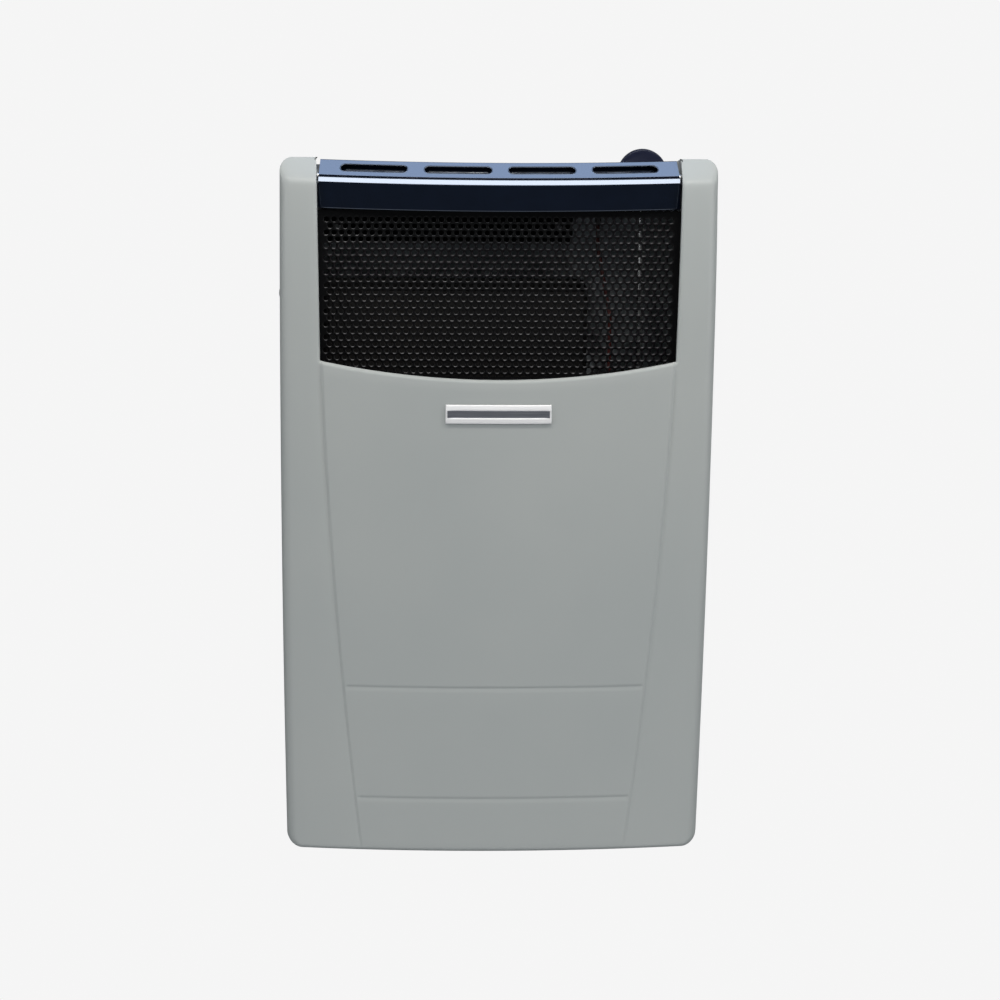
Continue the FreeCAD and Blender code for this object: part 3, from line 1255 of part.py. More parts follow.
def lead_clip():
    """Folded clip on the chamber's right wall, with a ring round the lead."""
    low, top = CLIP_HEIGHT, CLIP_HEIGHT + CLIP_WIDTH
    ring_outer = IGNITION_RADIUS + FIT_GAP + CLIP_WALL
    axis = Vector(IGNITION_X, -IGNITION_DEPTH, low)
    rear = -IGNITION_DEPTH + ring_outer
    arm = box(CHAMBER_RIGHT, IGNITION_X, rear - CLIP_WALL, rear, low, top)
    foot = box(CHAMBER_RIGHT, CHAMBER_RIGHT + CLIP_WALL, rear - CLIP_WALL, rear + CLIP_WIDTH, low, top)
    ring = pin(axis, ALONG_Z, ring_outer, CLIP_WIDTH)
    eye = pin(axis - ALONG_Z * OVERRUN, ALONG_Z, ring_outer - CLIP_WALL, CLIP_WIDTH + 2 * OVERRUN)
    return united([arm, foot, ring]).cut(eye)


PIECES = (
    front_casing, casing_screws, badge_plate, visor, visor_screws, visor_spacers, top_cover, cover_screws,
    grille, grille_screws, back_panel, heat_shield, front_heat_shield, heat_chamber, chamber_brackets,
    hot_air_deflector, burner_tube, burner_cap, burner_venturi, injector, burner_brackets, gas_valve,
    plug_driver, control_rod, rod_bush, control_knob, supply_tube, inlet_fitting, inlet_locknut,
    inlet_bracket, valve_bracket, chassis_screws, pilot_bracket, pilot_burner, pilot_tube, thermocouple,
    spark_electrode, piezo_igniter, piezo_nut, piezo_button, ignition_lead, lead_clip,
)


def main():
    os.makedirs("parts", exist_ok=True)
    for piece in PIECES:
        shape = piece()
        shape.translate(ALONG_Z * -ORIGIN_HEIGHT)
        shape.exportStep("parts/%s.step" % piece.__name__)
        solids = shape.Solids
        print("%-20s solids %d valid %s volume %.1f" % (piece.__name__, len(solids), shape.isValid(),
                                                         sum(solid.Volume for solid in solids)))


main()
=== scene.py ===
# %% [markdown]
# # A wall-hung gas heater
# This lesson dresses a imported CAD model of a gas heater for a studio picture. The CAD nodes are
# the fixed frame: every piece made here goes where a node already is, in metres, with the wall
# plane at y = 0 and the front towards -Y. Painted sheet shows its bends and rounded edges, so the
# outer sheets are made again with soft edges, and the inner works keep their CAD shape with
# broken edges and real finishes.

# %% Load the frame
import json
import math

import bmesh
import bpy
from mathutils import Matrix, Vector

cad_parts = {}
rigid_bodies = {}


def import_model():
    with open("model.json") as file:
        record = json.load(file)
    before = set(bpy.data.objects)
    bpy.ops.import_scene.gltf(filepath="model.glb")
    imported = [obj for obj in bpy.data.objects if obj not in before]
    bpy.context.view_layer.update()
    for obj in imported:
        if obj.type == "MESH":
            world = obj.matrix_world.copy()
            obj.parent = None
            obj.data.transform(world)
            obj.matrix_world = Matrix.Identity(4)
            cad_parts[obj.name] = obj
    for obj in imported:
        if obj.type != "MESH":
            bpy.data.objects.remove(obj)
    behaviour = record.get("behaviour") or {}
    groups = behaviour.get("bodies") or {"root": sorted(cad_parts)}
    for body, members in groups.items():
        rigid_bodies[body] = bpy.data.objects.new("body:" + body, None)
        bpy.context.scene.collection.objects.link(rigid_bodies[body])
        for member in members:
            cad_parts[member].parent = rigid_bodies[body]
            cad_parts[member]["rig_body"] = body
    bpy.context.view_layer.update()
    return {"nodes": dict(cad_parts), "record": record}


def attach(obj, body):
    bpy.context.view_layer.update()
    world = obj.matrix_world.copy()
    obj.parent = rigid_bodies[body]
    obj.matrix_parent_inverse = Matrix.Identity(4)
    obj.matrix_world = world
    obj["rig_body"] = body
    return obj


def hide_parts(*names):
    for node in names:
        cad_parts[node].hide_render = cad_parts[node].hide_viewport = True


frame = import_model()
SLOT_OF = {part["node"]: part["material_slot"] for part in frame["record"]["subparts"]}

# %% [markdown]
# ## The camera
# The photograph was taken from well back with a long lens, a little from the left and from above.
# The place, turn and lens here come from matching the casing's corners in the picture with their
# places in the CAD frame. A matrix built from the three view directions also takes the slight
# roll of the picture, which a track-to constraint would not.

# %% Camera
CAMERA_PLACE = Vector((-0.2008, -3.9461, 0.8221))
CAMERA_YAW = math.radians(3.09)
CAMERA_TILT = math.radians(12.0)
CAMERA_ROLL = math.radians(0.725)
LENS = 151.2

forward = Vector((math.sin(CAMERA_YAW) * math.cos(CAMERA_TILT),
                  math.cos(CAMERA_YAW) * math.cos(CAMERA_TILT),
                  -math.sin(CAMERA_TILT)))
level_right = forward.cross(Vector((0, 0, 1))).normalized()
level_up = level_right.cross(forward)
view_right = math.cos(CAMERA_ROLL) * level_right + math.sin(CAMERA_ROLL) * level_up
view_up = math.cos(CAMERA_ROLL) * level_up - math.sin(CAMERA_ROLL) * level_right
camera_data = bpy.data.cameras.new("camera")
camera_data.sensor_width = 36.0
camera_data.lens = LENS
camera = bpy.data.objects.new("camera", camera_data)
bpy.context.collection.objects.link(camera)
turn = Matrix((view_right, view_up, -forward)).transposed()
camera.matrix_world = Matrix.Translation(CAMERA_PLACE) @ turn.to_4x4()
bpy.context.scene.camera = camera
print("camera at", [round(v, 3) for v in CAMERA_PLACE], "lens", LENS)

# %% [markdown]
# ## The studio
# The picture has a plain near-white ground with no shadow under the heater. A wide dome of paper
# gives that ground without a corner, and from every side. It only has to be seen, so it gives an
# even light of its own and is kept out of the reflections. Two soft boxes hang above: one straight
# over the heater, which the sloping top mirrors, and one further forward, which the narrow bevel
# mirrors. The dark gap between them draws the line between slope and bevel. Wide weak lamps at the
# sides, in front, below and behind light the other faces.

# %% Paper dome
DOME_RADIUS, DOME_ROWS, DOME_COLUMNS, DOME_REACH = 9.0, 12, 24, 0.999
PAPER_LIGHT = (0.915, 0.915, 0.915, 1)


def grid_faces(shape, rows, finish=0):
    """Adds rows of points to a bmesh as a sheet of quads."""
    verts = [[shape.verts.new(point) for point in row] for row in rows]
    for low, high in zip(verts, verts[1:]):
        for a, b, c, d in zip(low, low[1:], high[1:], high):
            shape.faces.new((a, b, c, d)).material_index = finish


def mesh_object(name, shape):
    """Turns a bmesh into a linked object."""
    mesh = bpy.data.meshes.new(name)
    shape.to_mesh(mesh)
    shape.free()
    made = bpy.data.objects.new(name, mesh)
    bpy.context.collection.objects.link(made)
    return made


def dome_place(row, column):
    rise = math.pi * (row / DOME_ROWS - 0.5) * DOME_REACH
    turn_round = 2 * math.pi * column / DOME_COLUMNS
    ring = DOME_RADIUS * math.cos(rise)
    height = DOME_RADIUS * math.sin(rise)
    return Vector((ring * math.cos(turn_round), ring * math.sin(turn_round), height))


dome_shape = bmesh.new()
grid_faces(dome_shape, [[dome_place(row, column) for column in range(DOME_COLUMNS + 1)]
                        for row in range(DOME_ROWS + 1)])
dome = mesh_object("paper_dome", dome_shape)
dome_paper = bpy.data.materials.new("dome_paper")
dome_paper.use_nodes = True
paper = dome_paper.node_tree.nodes["Principled BSDF"]
paper.inputs["Base Color"].default_value = (0.0, 0.0, 0.0, 1)
paper.inputs["Specular IOR Level"].default_value = 0.0
paper.inputs["Roughness"].default_value = 1.0
paper.inputs["Emission Color"].default_value = PAPER_LIGHT
paper.inputs["Emission Strength"].default_value = 1.0
dome.data.materials.append(dome_paper)
dome.visible_diffuse = False
dome.visible_glossy = False
dome.visible_shadow = False
print("dome faces", len(dome.data.polygons))

# %% Lights: place, aim, size in metres, power in watts and colour
COOL, PLAIN, WARM = (0.66, 0.79, 1.0), (0.97, 0.99, 1.0), (1.0, 0.96, 0.90)
ROOM_COLOUR, ROOM_STRENGTH = (0.86, 0.93, 1.0, 1), 0.06
LAMPS = {
    "overhead_box": ((0.03, 0.03, 1.60), (0.03, 0.0, 0.30), (1.1, 0.36), 4.4, COOL),
    "front_box": ((0.12, -0.885, 1.58), (0.12, -0.16, 0.25), (2.5, 0.28), 22, WARM),
    "right_fill": ((2.4, -1.4, 0.6), (0.0, -0.10, 0.0), (1.2, 2.0), 23, PLAIN),
    "left_fill": ((-2.4, -1.4, 0.6), (0.0, -0.10, 0.0), (1.2, 2.0), 19, PLAIN),
    "front_fill": ((0.2, -3.3, 2.2), (0.0, -0.10, -0.15), (2.4, 1.2), 26, PLAIN),
    "floor_glow": ((0.0, -1.1, -1.25), (0.0, -0.10, -0.1), (2.4, 1.2), 7, PLAIN),
    "back_glow": ((0.9, 2.8, -0.4), (0.0, 0.0, 0.0), (2.0, 2.0), 24, PLAIN),
}
for name, (place, aim, size, power, hue) in LAMPS.items():
    light = bpy.data.lights.new(name, "AREA")
    light.shape = "RECTANGLE"
    light.size, light.size_y = size
    light.energy = power
    light.color = hue
    holder = bpy.data.objects.new(name, light)
    bpy.context.collection.objects.link(holder)
    holder.location = place
    holder.rotation_euler = (Vector(aim) - Vector(place)).to_track_quat("-Z", "Y").to_euler()
room = bpy.data.worlds.new("room")
room.use_nodes = True
room.node_tree.nodes["Background"].inputs["Color"].default_value = ROOM_COLOUR
room.node_tree.nodes["Background"].inputs["Strength"].default_value = ROOM_STRENGTH
bpy.context.scene.world = room
bpy.context.scene.view_settings.view_transform = "Standard"
print("lamps", len(LAMPS))

# %% [markdown]
# ## Finishes
# Each finish is one shader with noise in the object's own coordinates, so it stays with the piece.
# One function builds what nearly all of them share: a colour, a gloss and a relief that each follow
# a grain. A grain is noise of some scale and detail, drawn out along an axis where the real surface
# is brushed or drawn. What is the same all over is set on the shader itself.

# %% Helpers for the finishes
FINISH = {}


def new_finish(name, base, **sockets):
    """A material with its shader set, and the object coordinates that its grain uses."""
    finish = bpy.data.materials.new(name)
    finish.use_nodes = True
    tree = finish.node_tree
    shader = tree.nodes["Principled BSDF"]
    shader.inputs["Base Color"].default_value = (*base, 1)
    for socket, value in sockets.items():
        shader.inputs[socket.replace("_", " ")].default_value = value
    FINISH[name] = finish
    print("finish", name)
    return tree, shader, tree.nodes.new("ShaderNodeTexCoord").outputs["Object"]


def grain(tree, where, scale, detail=2.0, stretch=None):
    """Noise in object coordinates. stretch draws it out along an axis, as brushing does."""
    if stretch:
        mapping = tree.nodes.new("ShaderNodeMapping")
        mapping.inputs["Scale"].default_value = stretch
        tree.links.new(where, mapping.inputs["Vector"])
        where = mapping.outputs["Vector"]
    noise = tree.nodes.new("ShaderNodeTexNoise")
    noise.inputs["Scale"].default_value = scale
    noise.inputs["Detail"].default_value = detail
    tree.links.new(where, noise.inputs["Vector"])
    return noise.outputs["Fac"]


def tint(tree, shader, share, dark, light, span=(0.3, 0.7)):
    """Base colour that goes from dark to light over a span of the grain."""
    ramp = tree.nodes.new("ShaderNodeValToRGB")
    for mark, place, colour in zip(ramp.color_ramp.elements, span, (dark, light)):
        mark.position = place
        mark.color = (*colour, 1)
    tree.links.new(share, ramp.inputs["Fac"])
    tree.links.new(ramp.outputs["Color"], shader.inputs["Base Color"])


def gloss(tree, shader, share, low, high):
    """Roughness that wanders between two values."""
    span = tree.nodes.new("ShaderNodeMapRange")
    span.inputs["From Min"].default_value = 0.3
    span.inputs["From Max"].default_value = 0.7
    span.inputs["To Min"].default_value = low
    span.inputs["To Max"].default_value = high
    tree.links.new(share, span.inputs["Value"])
    tree.links.new(span.outputs["Result"], shader.inputs["Roughness"])


def relief(tree, shader, share, depth, strength):
    """Bump of a real depth in metres."""
    bump = tree.nodes.new("ShaderNodeBump")
    bump.inputs["Strength"].default_value = strength
    bump.inputs["Distance"].default_value = depth
    tree.links.new(share, bump.inputs["Height"])
    tree.links.new(bump.outputs["Normal"], shader.inputs["Normal"])


def coat(name, dark, light, rough, bump, colour_grain, gloss_grain=None, relief_grain=None,
         span=(0.3, 0.7), **sockets):
    """A finish whose colour, gloss and relief follow grains. A grain left out is the one before it."""
    gloss_grain = gloss_grain or colour_grain
    relief_grain = relief_grain or gloss_grain
    tree, shader, where = new_finish(name, light, **sockets)
    tint(tree, shader, grain(tree, where, *colour_grain), dark, light, span)
    gloss(tree, shader, grain(tree, where, *gloss_grain), *rough)
    relief(tree, shader, grain(tree, where, *relief_grain), *bump)


# %% [markdown]
# The casing has a light grey stove paint. Sprayed paint has a fine orange peel, and its colour
# drifts by a percent or two over a large panel, which keeps the big front from looking flat.

# %% Casing paint
coat("casing_paint", (0.425, 0.452, 0.450), (0.455, 0.478, 0.472), rough=(0.38, 0.46), bump=(0.00006, 0.5),
     colour_grain=(5.0, 3.0), gloss_grain=(420.0, 2.0), Specular_IOR_Level=0.45)

# %% [markdown]
# The visor is vitreous enamel in a very dark blue: a glassy coat that mirrors the soft boxes with
# a cool tint, over a colour that is nearly black where nothing bright is mirrored. The knob is a
# dull plastic of the same blue.

# %% Visor enamel and knob plastic
coat("visor_enamel", (0.0017, 0.0034, 0.0090), (0.0023, 0.0046, 0.0120), rough=(0.06, 0.09),
     bump=(0.00002, 0.15), colour_grain=(60.0, 2.0), relief_grain=(140.0, 1.0), IOR=2.0,
     Specular_Tint=(0.69, 0.80, 1.0, 1))
coat("knob_plastic", (0.0085, 0.0115, 0.032), (0.0110, 0.0145, 0.039), rough=(0.36, 0.48),
     bump=(0.00003, 0.6), colour_grain=(90.0, 2.0), gloss_grain=(1600.0, 2.0), Specular_IOR_Level=0.4)

# %% [markdown]
# The grille and the inside of the opening have a dull black stove paint, and the plastic of the igniter is
# black too. In the photograph the lower edge of each hole in the grille shows as a short light dash, where
# light catches it. A glossy black would mirror the whole room there, so the paint stays dull and those edges
# get a light grey paint of their own: a painted highlight.

# %% Black finishes
coat("grille_black", (0.0014, 0.0014, 0.0018), (0.0026, 0.0026, 0.0031), rough=(0.38, 0.48),
     bump=(0.00002, 0.4), colour_grain=(30.0, 3.0), gloss_grain=(700.0, 2.0), Specular_IOR_Level=0.2)
# Grey paint for the upward-facing lower edges of the grille's holes: a painted highlight.
coat("worn_edge", (0.045, 0.045, 0.05), (0.12, 0.12, 0.13), rough=(0.32, 0.48), bump=(0.00001, 0.4),
     colour_grain=(220.0, 2.0))
coat("black_plastic", (0.009, 0.009, 0.010), (0.016, 0.016, 0.017), rough=(0.38, 0.52), bump=(0.00004, 0.6),
     colour_grain=(1300.0, 1.0))

# %% [markdown]
# Bare sheet: zinc coated sheet shows a spangle of crystals, for which each cell of a Voronoi pattern has its
# own grey and its own gloss. Near the burner the steel and the zinc have gone dark and dull, and their colour
# is made darker still as painted shade, for the little light that comes in through the grille, so they are
# hardly seen through it.

# %% Sheet metals
tree, shader, where = new_finish("galvanised_sheet", (0.55, 0.57, 0.59), Metallic=1.0)
spangle = tree.nodes.new("ShaderNodeTexVoronoi")
spangle.inputs["Scale"].default_value = 95.0
tree.links.new(where, spangle.inputs["Vector"])
flake = tree.nodes.new("ShaderNodeSeparateColor")
tree.links.new(spangle.outputs["Color"], flake.inputs["Color"])
tint(tree, shader, flake.outputs["Red"], (0.47, 0.49, 0.51), (0.62, 0.64, 0.66), (0.0, 1.0))
gloss(tree, shader, flake.outputs["Green"], 0.30, 0.44)
relief(tree, shader, grain(tree, where, 260.0, 2.0), 0.00003, 0.5)
# Near-black steel and zinc near the burner: partly their own heat-dulled surface, partly painted shade, as
# little light gets in through the grille.
coat("heat_steel", (0.004, 0.0038, 0.0045), (0.010, 0.008, 0.0065), rough=(0.48, 0.66), bump=(0.00005, 0.6),
     colour_grain=(14.0, 4.0), gloss_grain=(350.0, 3.0), Metallic=0.3)
coat("dulled_zinc", (0.005, 0.005, 0.006), (0.011, 0.0105, 0.0105), rough=(0.48, 0.62), bump=(0.00003, 0.5),
     colour_grain=(45.0, 4.0), relief_grain=(300.0, 2.0), Metallic=0.3)

# %% [markdown]
# The small fittings are bright zinc, brass, copper and cast aluminium. The spark electrode sits in
# a glazed insulator and the ignition lead is red silicone. One grain each is enough for pieces of
# this size, and the turning marks on brass are its grain drawn out along one axis.

# %% Fittings, insulator and lead
METAL_SPAN = (0.32, 0.68)
coat("zinc_screw", (0.55, 0.56, 0.58), (0.66, 0.66, 0.64), rough=(0.22, 0.36), bump=(0.00002, 0.4),
     colour_grain=(500.0, 2.0), Metallic=1.0)
coat("brass", (0.50, 0.34, 0.12), (0.62, 0.45, 0.18), rough=(0.23, 0.40), bump=(0.00002, 0.6),
     colour_grain=(330.0, 3.0, (1, 1, 6)), span=METAL_SPAN, Metallic=1.0)
coat("copper_tube", (0.52, 0.22, 0.12), (0.66, 0.32, 0.19), rough=(0.27, 0.44), bump=(0.00002, 0.6),
     colour_grain=(330.0, 3.0), span=METAL_SPAN, Metallic=1.0)
coat("cast_aluminium", (0.48, 0.49, 0.50), (0.60, 0.61, 0.62), rough=(0.43, 0.60), bump=(0.00010, 0.6),
     colour_grain=(330.0, 3.0), span=METAL_SPAN, Metallic=1.0)
coat("white_ceramic", (0.66, 0.63, 0.57), (0.74, 0.71, 0.66), rough=(0.14, 0.26), bump=(0.00003, 0.5),
     colour_grain=(160.0, 2.0))
coat("lead_rubber", (0.070, 0.010, 0.009), (0.100, 0.016, 0.013), rough=(0.48, 0.60), bump=(0.00004, 0.5),
     colour_grain=(420.0, 2.0))

# %% [markdown]
# The badge is a satin aluminium plate with a darker ground in its channel. Its brushing runs along
# it, so the noise of both is drawn out in X.

# %% Badge finishes
BRUSHING = (900.0, 2.0, (0.03, 1, 1))
coat("badge_metal", (0.89, 0.89, 0.91), (0.95, 0.95, 0.96), rough=(0.28, 0.42), bump=(0.00002, 0.4),
     colour_grain=BRUSHING, Metallic=0.15)
tree, shader, where = new_finish("badge_ground", (0.20, 0.21, 0.24), Metallic=0.55, Roughness=0.42)
tint(tree, shader, grain(tree, where, *BRUSHING), (0.17, 0.18, 0.21), (0.23, 0.24, 0.27))
print("finishes", len(FINISH))

# %% [markdown]
# ## Handing a piece to the frame
# Every finished piece needs the same last steps: smooth shading that breaks at sharp bends, its
# finish, the body it rides on, the node it stands for and the slot it takes its colour from.

# %% Helpers that finish a piece
MM = 0.001


def smooth_sheet(piece, angle=34):
    """Smooth shading, with an edge kept sharp where the sheet turns by more than the angle."""
    piece.data.shade_smooth()
    piece.data.set_sharp_from_angle(angle=math.radians(angle))


def baked(piece):
    """Turns what the modifiers show into the piece's own mesh."""
    bpy.context.view_layer.update()
    seen = piece.evaluated_get(bpy.context.evaluated_depsgraph_get())
    mesh = bpy.data.meshes.new_from_object(seen)
    piece.modifiers.clear()
    piece.data = mesh
    mesh.name = piece.name
    return piece


def thickened(piece, sheet):
    """Gives a skin its sheet thickness in millimetres, inwards."""
    thickness = piece.modifiers.new("sheet", "SOLIDIFY")
    thickness.thickness = sheet * MM
    thickness.offset = -1.0
    return baked(piece)


def hand_over(piece, node, *finishes):
    """The piece rides on the node's body, takes the given finishes or else its node's slot finish, and hides
    the node.
    """
    if not piece.data.materials:
        for finish in finishes or [SLOT_OF[node]]:
            piece.data.materials.append(FINISH[finish])
    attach(piece, frame["nodes"][node]["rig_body"])
    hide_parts(node)
    print(piece.name, "faces", len(piece.data.polygons))


def outward(shape, towards):
    """Points all faces the same way round, the way that the face furthest along towards looks."""
    bmesh.ops.remove_doubles(shape, verts=shape.verts, dist=1e-6)
    bmesh.ops.recalc_face_normals(shape, faces=shape.faces)
    towards = Vector(towards)
    far = max(shape.faces, key=lambda face: face.calc_center_median().dot(towards))
    if far.normal.dot(towards) < 0:
        bmesh.ops.reverse_faces(shape, faces=shape.faces)


# %% [markdown]
# ## The front casing
# One pressed sheet makes the front, the two cheeks, the sides and the roof of each cheek. Its
# front is a height field: for each place (x, z) the depth y follows from a few rules, which are
# the bow, the facet at the top, the rounded rim, the raised panel between the V lines, the pressed
# grooves and the rolled edge of the opening. A height field gives soft presses that bevels on a
# CAD mesh could not. The rows and columns of the grid follow the V lines and the opening, so each
# crease has edges of its own. Plain sheets of quads then run back from the front's edges: the sides,
# the roofs of the cheeks, and a collar round the opening that slopes down to the grille and is black.

# %% Casing sizes in millimetres, heights from its bottom edge
ORIGIN_HEIGHT = 315.0
TOP_HALF, BOTTOM_HALF, SIDE_BULGE = 200.0, 191.6, 2.1
RIDGE, TOP_EDGE = 645.5, 645.7
SIDE_DEPTH, FRONT_BOW = 165.0, 18.0
FRONT_RADIUS = (TOP_HALF ** 2 + FRONT_BOW ** 2) / (2 * FRONT_BOW)
LOW_CORNER, HIGH_CORNER, RIM_ROLL, LOW_ROLL = 14.0, 11.5, 9.0, 4.0
FACET_FOOT, FACET_SOFT, LEAN_FOOT, LEAN = 627.5, 3.0, 500.0, 9.0
ROOF_DROP, ROOF_FRONT, CORNER_FOOT, BACK_GAP = 25.0, 138.0, 634.0, 0.2
SHEET, RIDGE_EASE = 1.5, 30.0
NOTCH_FOOT, NOTCH_LOW_HALF, NOTCH_LOW_POINT, NOTCH_GAIN = 462.8, 162.9, 447.5, 3.9
NOTCH_RISE, NOTCH_ROLL = NOTCH_FOOT - NOTCH_LOW_POINT, 3.2
NOTCH_RADIUS = (NOTCH_LOW_HALF ** 2 + NOTCH_RISE ** 2) / (2 * NOTCH_RISE)
PANEL_RAISE, PANEL_BOTTOM_HALF, PANEL_GAIN, PANEL_BULGE = 1.2, 122.0, 39.4, 5.0
CREASE_WIDTH, PANEL_FADE = 2.4, 0.35
MOAT_DEPTH, MOAT_START, MOAT_FLOOR, MOAT_END, MOAT_RUN_OUT = 0.9, -0.6, 1.3, 4.7, 12.0
GROOVE_HEIGHTS, GROOVE_DEPTH, GROOVE_END_GAP, GROOVE_END_SOFT = (52.6, 158.7), 0.65, 2.2, 1.6
GROOVE_LOW, GROOVE_FLOOR, GROOVE_HIGH = -5.9, -0.9, 0.6
GRILLE_DEPTH, GRILLE_TOP, WALL_FOOT = 151.0, 600.7, 614.0
GRILLE_SEAT = -GRILLE_DEPTH - 0.1


def row_point(x, y, z):
    """A place in millimetres, height from the casing's bottom edge, in the frame."""
    return Vector((x * MM, y * MM, (z - ORIGIN_HEIGHT) * MM))


def ease(share):
    """A soft step from 0 to 1."""
    share = min(1.0, max(0.0, share))
    return share * share * (3 - 2 * share)


def rolled(gap, radius):
    """How far a rounded edge falls back at a distance from the edge."""
    if gap >= radius:
        return 0.0
    return radius - math.sqrt(max(0.0, radius ** 2 - (radius - gap) ** 2))


# %% Outline of the casing and its opening
def side_half(z):
    share = z / RIDGE
    return BOTTOM_HALF + (TOP_HALF - BOTTOM_HALF) * share + 4 * SIDE_BULGE * share * (1 - share)


def row_end(z):
    """Half width at a height, with the rounded corners."""
    return side_half(z) - rolled(z, LOW_CORNER) - rolled(TOP_EDGE - z, HIGH_CORNER)


def rim_fall(x, z):
    """How far the rounded rim falls back. The bottom edge has a smaller radius than the sides."""
    side = side_half(z) - abs(x)
    gap, radius = (z, LOW_CORNER) if z < RIDGE / 2 else (TOP_EDGE - z, HIGH_CORNER)
    if side < radius and gap < radius:
        reach = math.hypot(radius - side, radius - gap)
        low_share = ((radius - gap) / reach) ** 2 if z < RIDGE / 2 else 0.0
        return rolled(max(0.0, radius - reach), RIM_ROLL + (LOW_ROLL - RIM_ROLL) * low_share)
    return max(rolled(max(0.0, side), RIM_ROLL), rolled(z, LOW_ROLL))


def notch_half(z):
    return NOTCH_LOW_HALF + NOTCH_GAIN * (z - NOTCH_FOOT) / (RIDGE - NOTCH_FOOT)


def notch_floor(x):
    """Height of the opening's curved lower edge."""
    return NOTCH_LOW_POINT + NOTCH_RADIUS - math.sqrt(NOTCH_RADIUS ** 2 - min(abs(x), NOTCH_LOW_HALF) ** 2)


def notch_gap(x, z):
    """Distance from the opening's edge."""
    if z >= NOTCH_FOOT:
        return max(0.0, abs(x) - notch_half(z))
    if abs(x) <= NOTCH_LOW_HALF:
        return max(0.0, notch_floor(x) - z)
    return math.hypot(abs(x) - NOTCH_LOW_HALF, NOTCH_FOOT - z)


def panel_half(z):
    share = z / NOTCH_FOOT
    return PANEL_BOTTOM_HALF + PANEL_GAIN * share + 4 * PANEL_BULGE * share * (1 - share)


# %% Depth of the front at a place
def panel_face(x, raise_by):
    """The bowed front, moved out by a raise."""
    return FRONT_RADIUS - SIDE_DEPTH - FRONT_BOW - math.sqrt((FRONT_RADIUS + raise_by) ** 2 - x * x)


def lean(z):
    """The upper front leans back a little."""
    return LEAN * (max(0.0, z - LEAN_FOOT) / (FACET_FOOT - LEAN_FOOT)) ** 2


def facet_face(x, z):
    """The facet runs from a level line on the bowed front to the ridge."""
    foot = panel_face(x, 0.0) + lean(FACET_FOOT)
    return foot + (z - FACET_FOOT) * (-ROOF_FRONT - foot) / (RIDGE - FACET_FOOT)


def roof_face(z):
    return -ROOF_FRONT * (z - RIDGE + ROOF_DROP) / ROOF_DROP


def valley(place, start, floor, end):
    """1 at the floor of a pressed line and 0 outside it, with two different flanks."""
    if place > floor:
        return ease((end - place) / (end - floor))
    return ease((place - start) / (floor - start))


def pressed(x, z):
    """Height of the press work over the plain bowed front: raised panel, its moat and the grooves."""
    if z >= NOTCH_FOOT:
        return 0.0
    half = panel_half(z)
    out = abs(x) - half
    strength = (PANEL_FADE + (1 - PANEL_FADE) * z / NOTCH_FOOT) * ease(z / RIM_ROLL)
    height = PANEL_RAISE * strength * ease(0.5 - out / CREASE_WIDTH)
    moat = valley(out, MOAT_START, MOAT_FLOOR, MOAT_END)
    height -= MOAT_DEPTH * moat * strength * ease((NOTCH_FOOT - z) / MOAT_RUN_OUT)
    for groove in GROOVE_HEIGHTS:
        across = valley(z - groove, GROOVE_LOW, GROOVE_FLOOR, GROOVE_HIGH)
        along = ease((half - GROOVE_END_GAP - abs(x)) / GROOVE_END_SOFT + 0.5)
        height -= GROOVE_DEPTH * across * along
    return height


def ridge_room(z):
    """1 on the front, down to 0 at the ridge, where the rounded edges have no room left."""
    return ease((RIDGE - z) / RIDGE_EASE)


def casing_front(x, z):
    """Depth of the outer skin."""
    front = panel_face(x, pressed(x, z)) + lean(z)
    facet = facet_face(x, z)
    depth = 0.5 * (front + facet + math.hypot(front - facet, FACET_SOFT))
    return depth + ridge_room(z) * (rim_fall(x, z) + rolled(notch_gap(x, z), NOTCH_ROLL))


# %% Rows and columns of the casing
ROLL_STEPS = [RIM_ROLL * (1 - math.cos(math.radians(15 * step))) for step in range(7)]
LIP_STEPS = [0.0, 0.45, 1.5, 3.2]
GROOVE_ROWS = (-6.2, -4.5, -3.2, -2.0, -0.9, -0.15, 0.6, 2.0)
PANEL_ROW_FOOT, CHEEK_ROW_FOOT, ROW_STEP, GROOVE_STEP, WARP_FOOT = 254.0, 476.0, 14.0, 12.0, 360.0
LINE_GAPS, PANEL_GAP, PANEL_COLUMNS = (5.4, 4.6, 3.4, 1.6, 0.8, 0.0, -0.8), 7.0, 9
LOW_ROWS = [step * LOW_ROLL / RIM_ROLL for step in ROLL_STEPS] + [5.5, 7.5, 9.5, 11.5, 14.0, 22.0, 32.0, 42.0]
for groove in GROOVE_HEIGHTS:
    LOW_ROWS += [groove + offset for offset in GROOVE_ROWS]
    LOW_ROWS += [groove + GROOVE_STEP * step for step in range(1, 8)]
LOW_ROWS += [PANEL_ROW_FOOT + ROW_STEP * step for step in range(14)]
LOW_ROWS += [NOTCH_LOW_POINT - step for step in LIP_STEPS]
LOW_ROWS.sort()
HIGH_ROWS = [NOTCH_FOOT] + [CHEEK_ROW_FOOT + ROW_STEP * step for step in range(9)]
HIGH_ROWS += [GRILLE_TOP, 605.0, 609.0, 611.5, WALL_FOOT, 616.2, 618.3, 620.5, 622.6, 624.8, 627.0]
HIGH_ROWS += [629.5, 632.0, 635.0, 638.0, 640.5, 642.5, 644.2, RIDGE]


def outer_columns(inner, end):
    """Columns from the opening's edge, or its line carried down, out to the rim."""
    start, stop = inner + NOTCH_ROLL, end - RIM_ROLL
    middle = [start + (stop - start) * share for share in (0.25, 0.5, 0.75)]
    return [inner + step for step in LIP_STEPS] + middle + [end - step for step in reversed(ROLL_STEPS)]


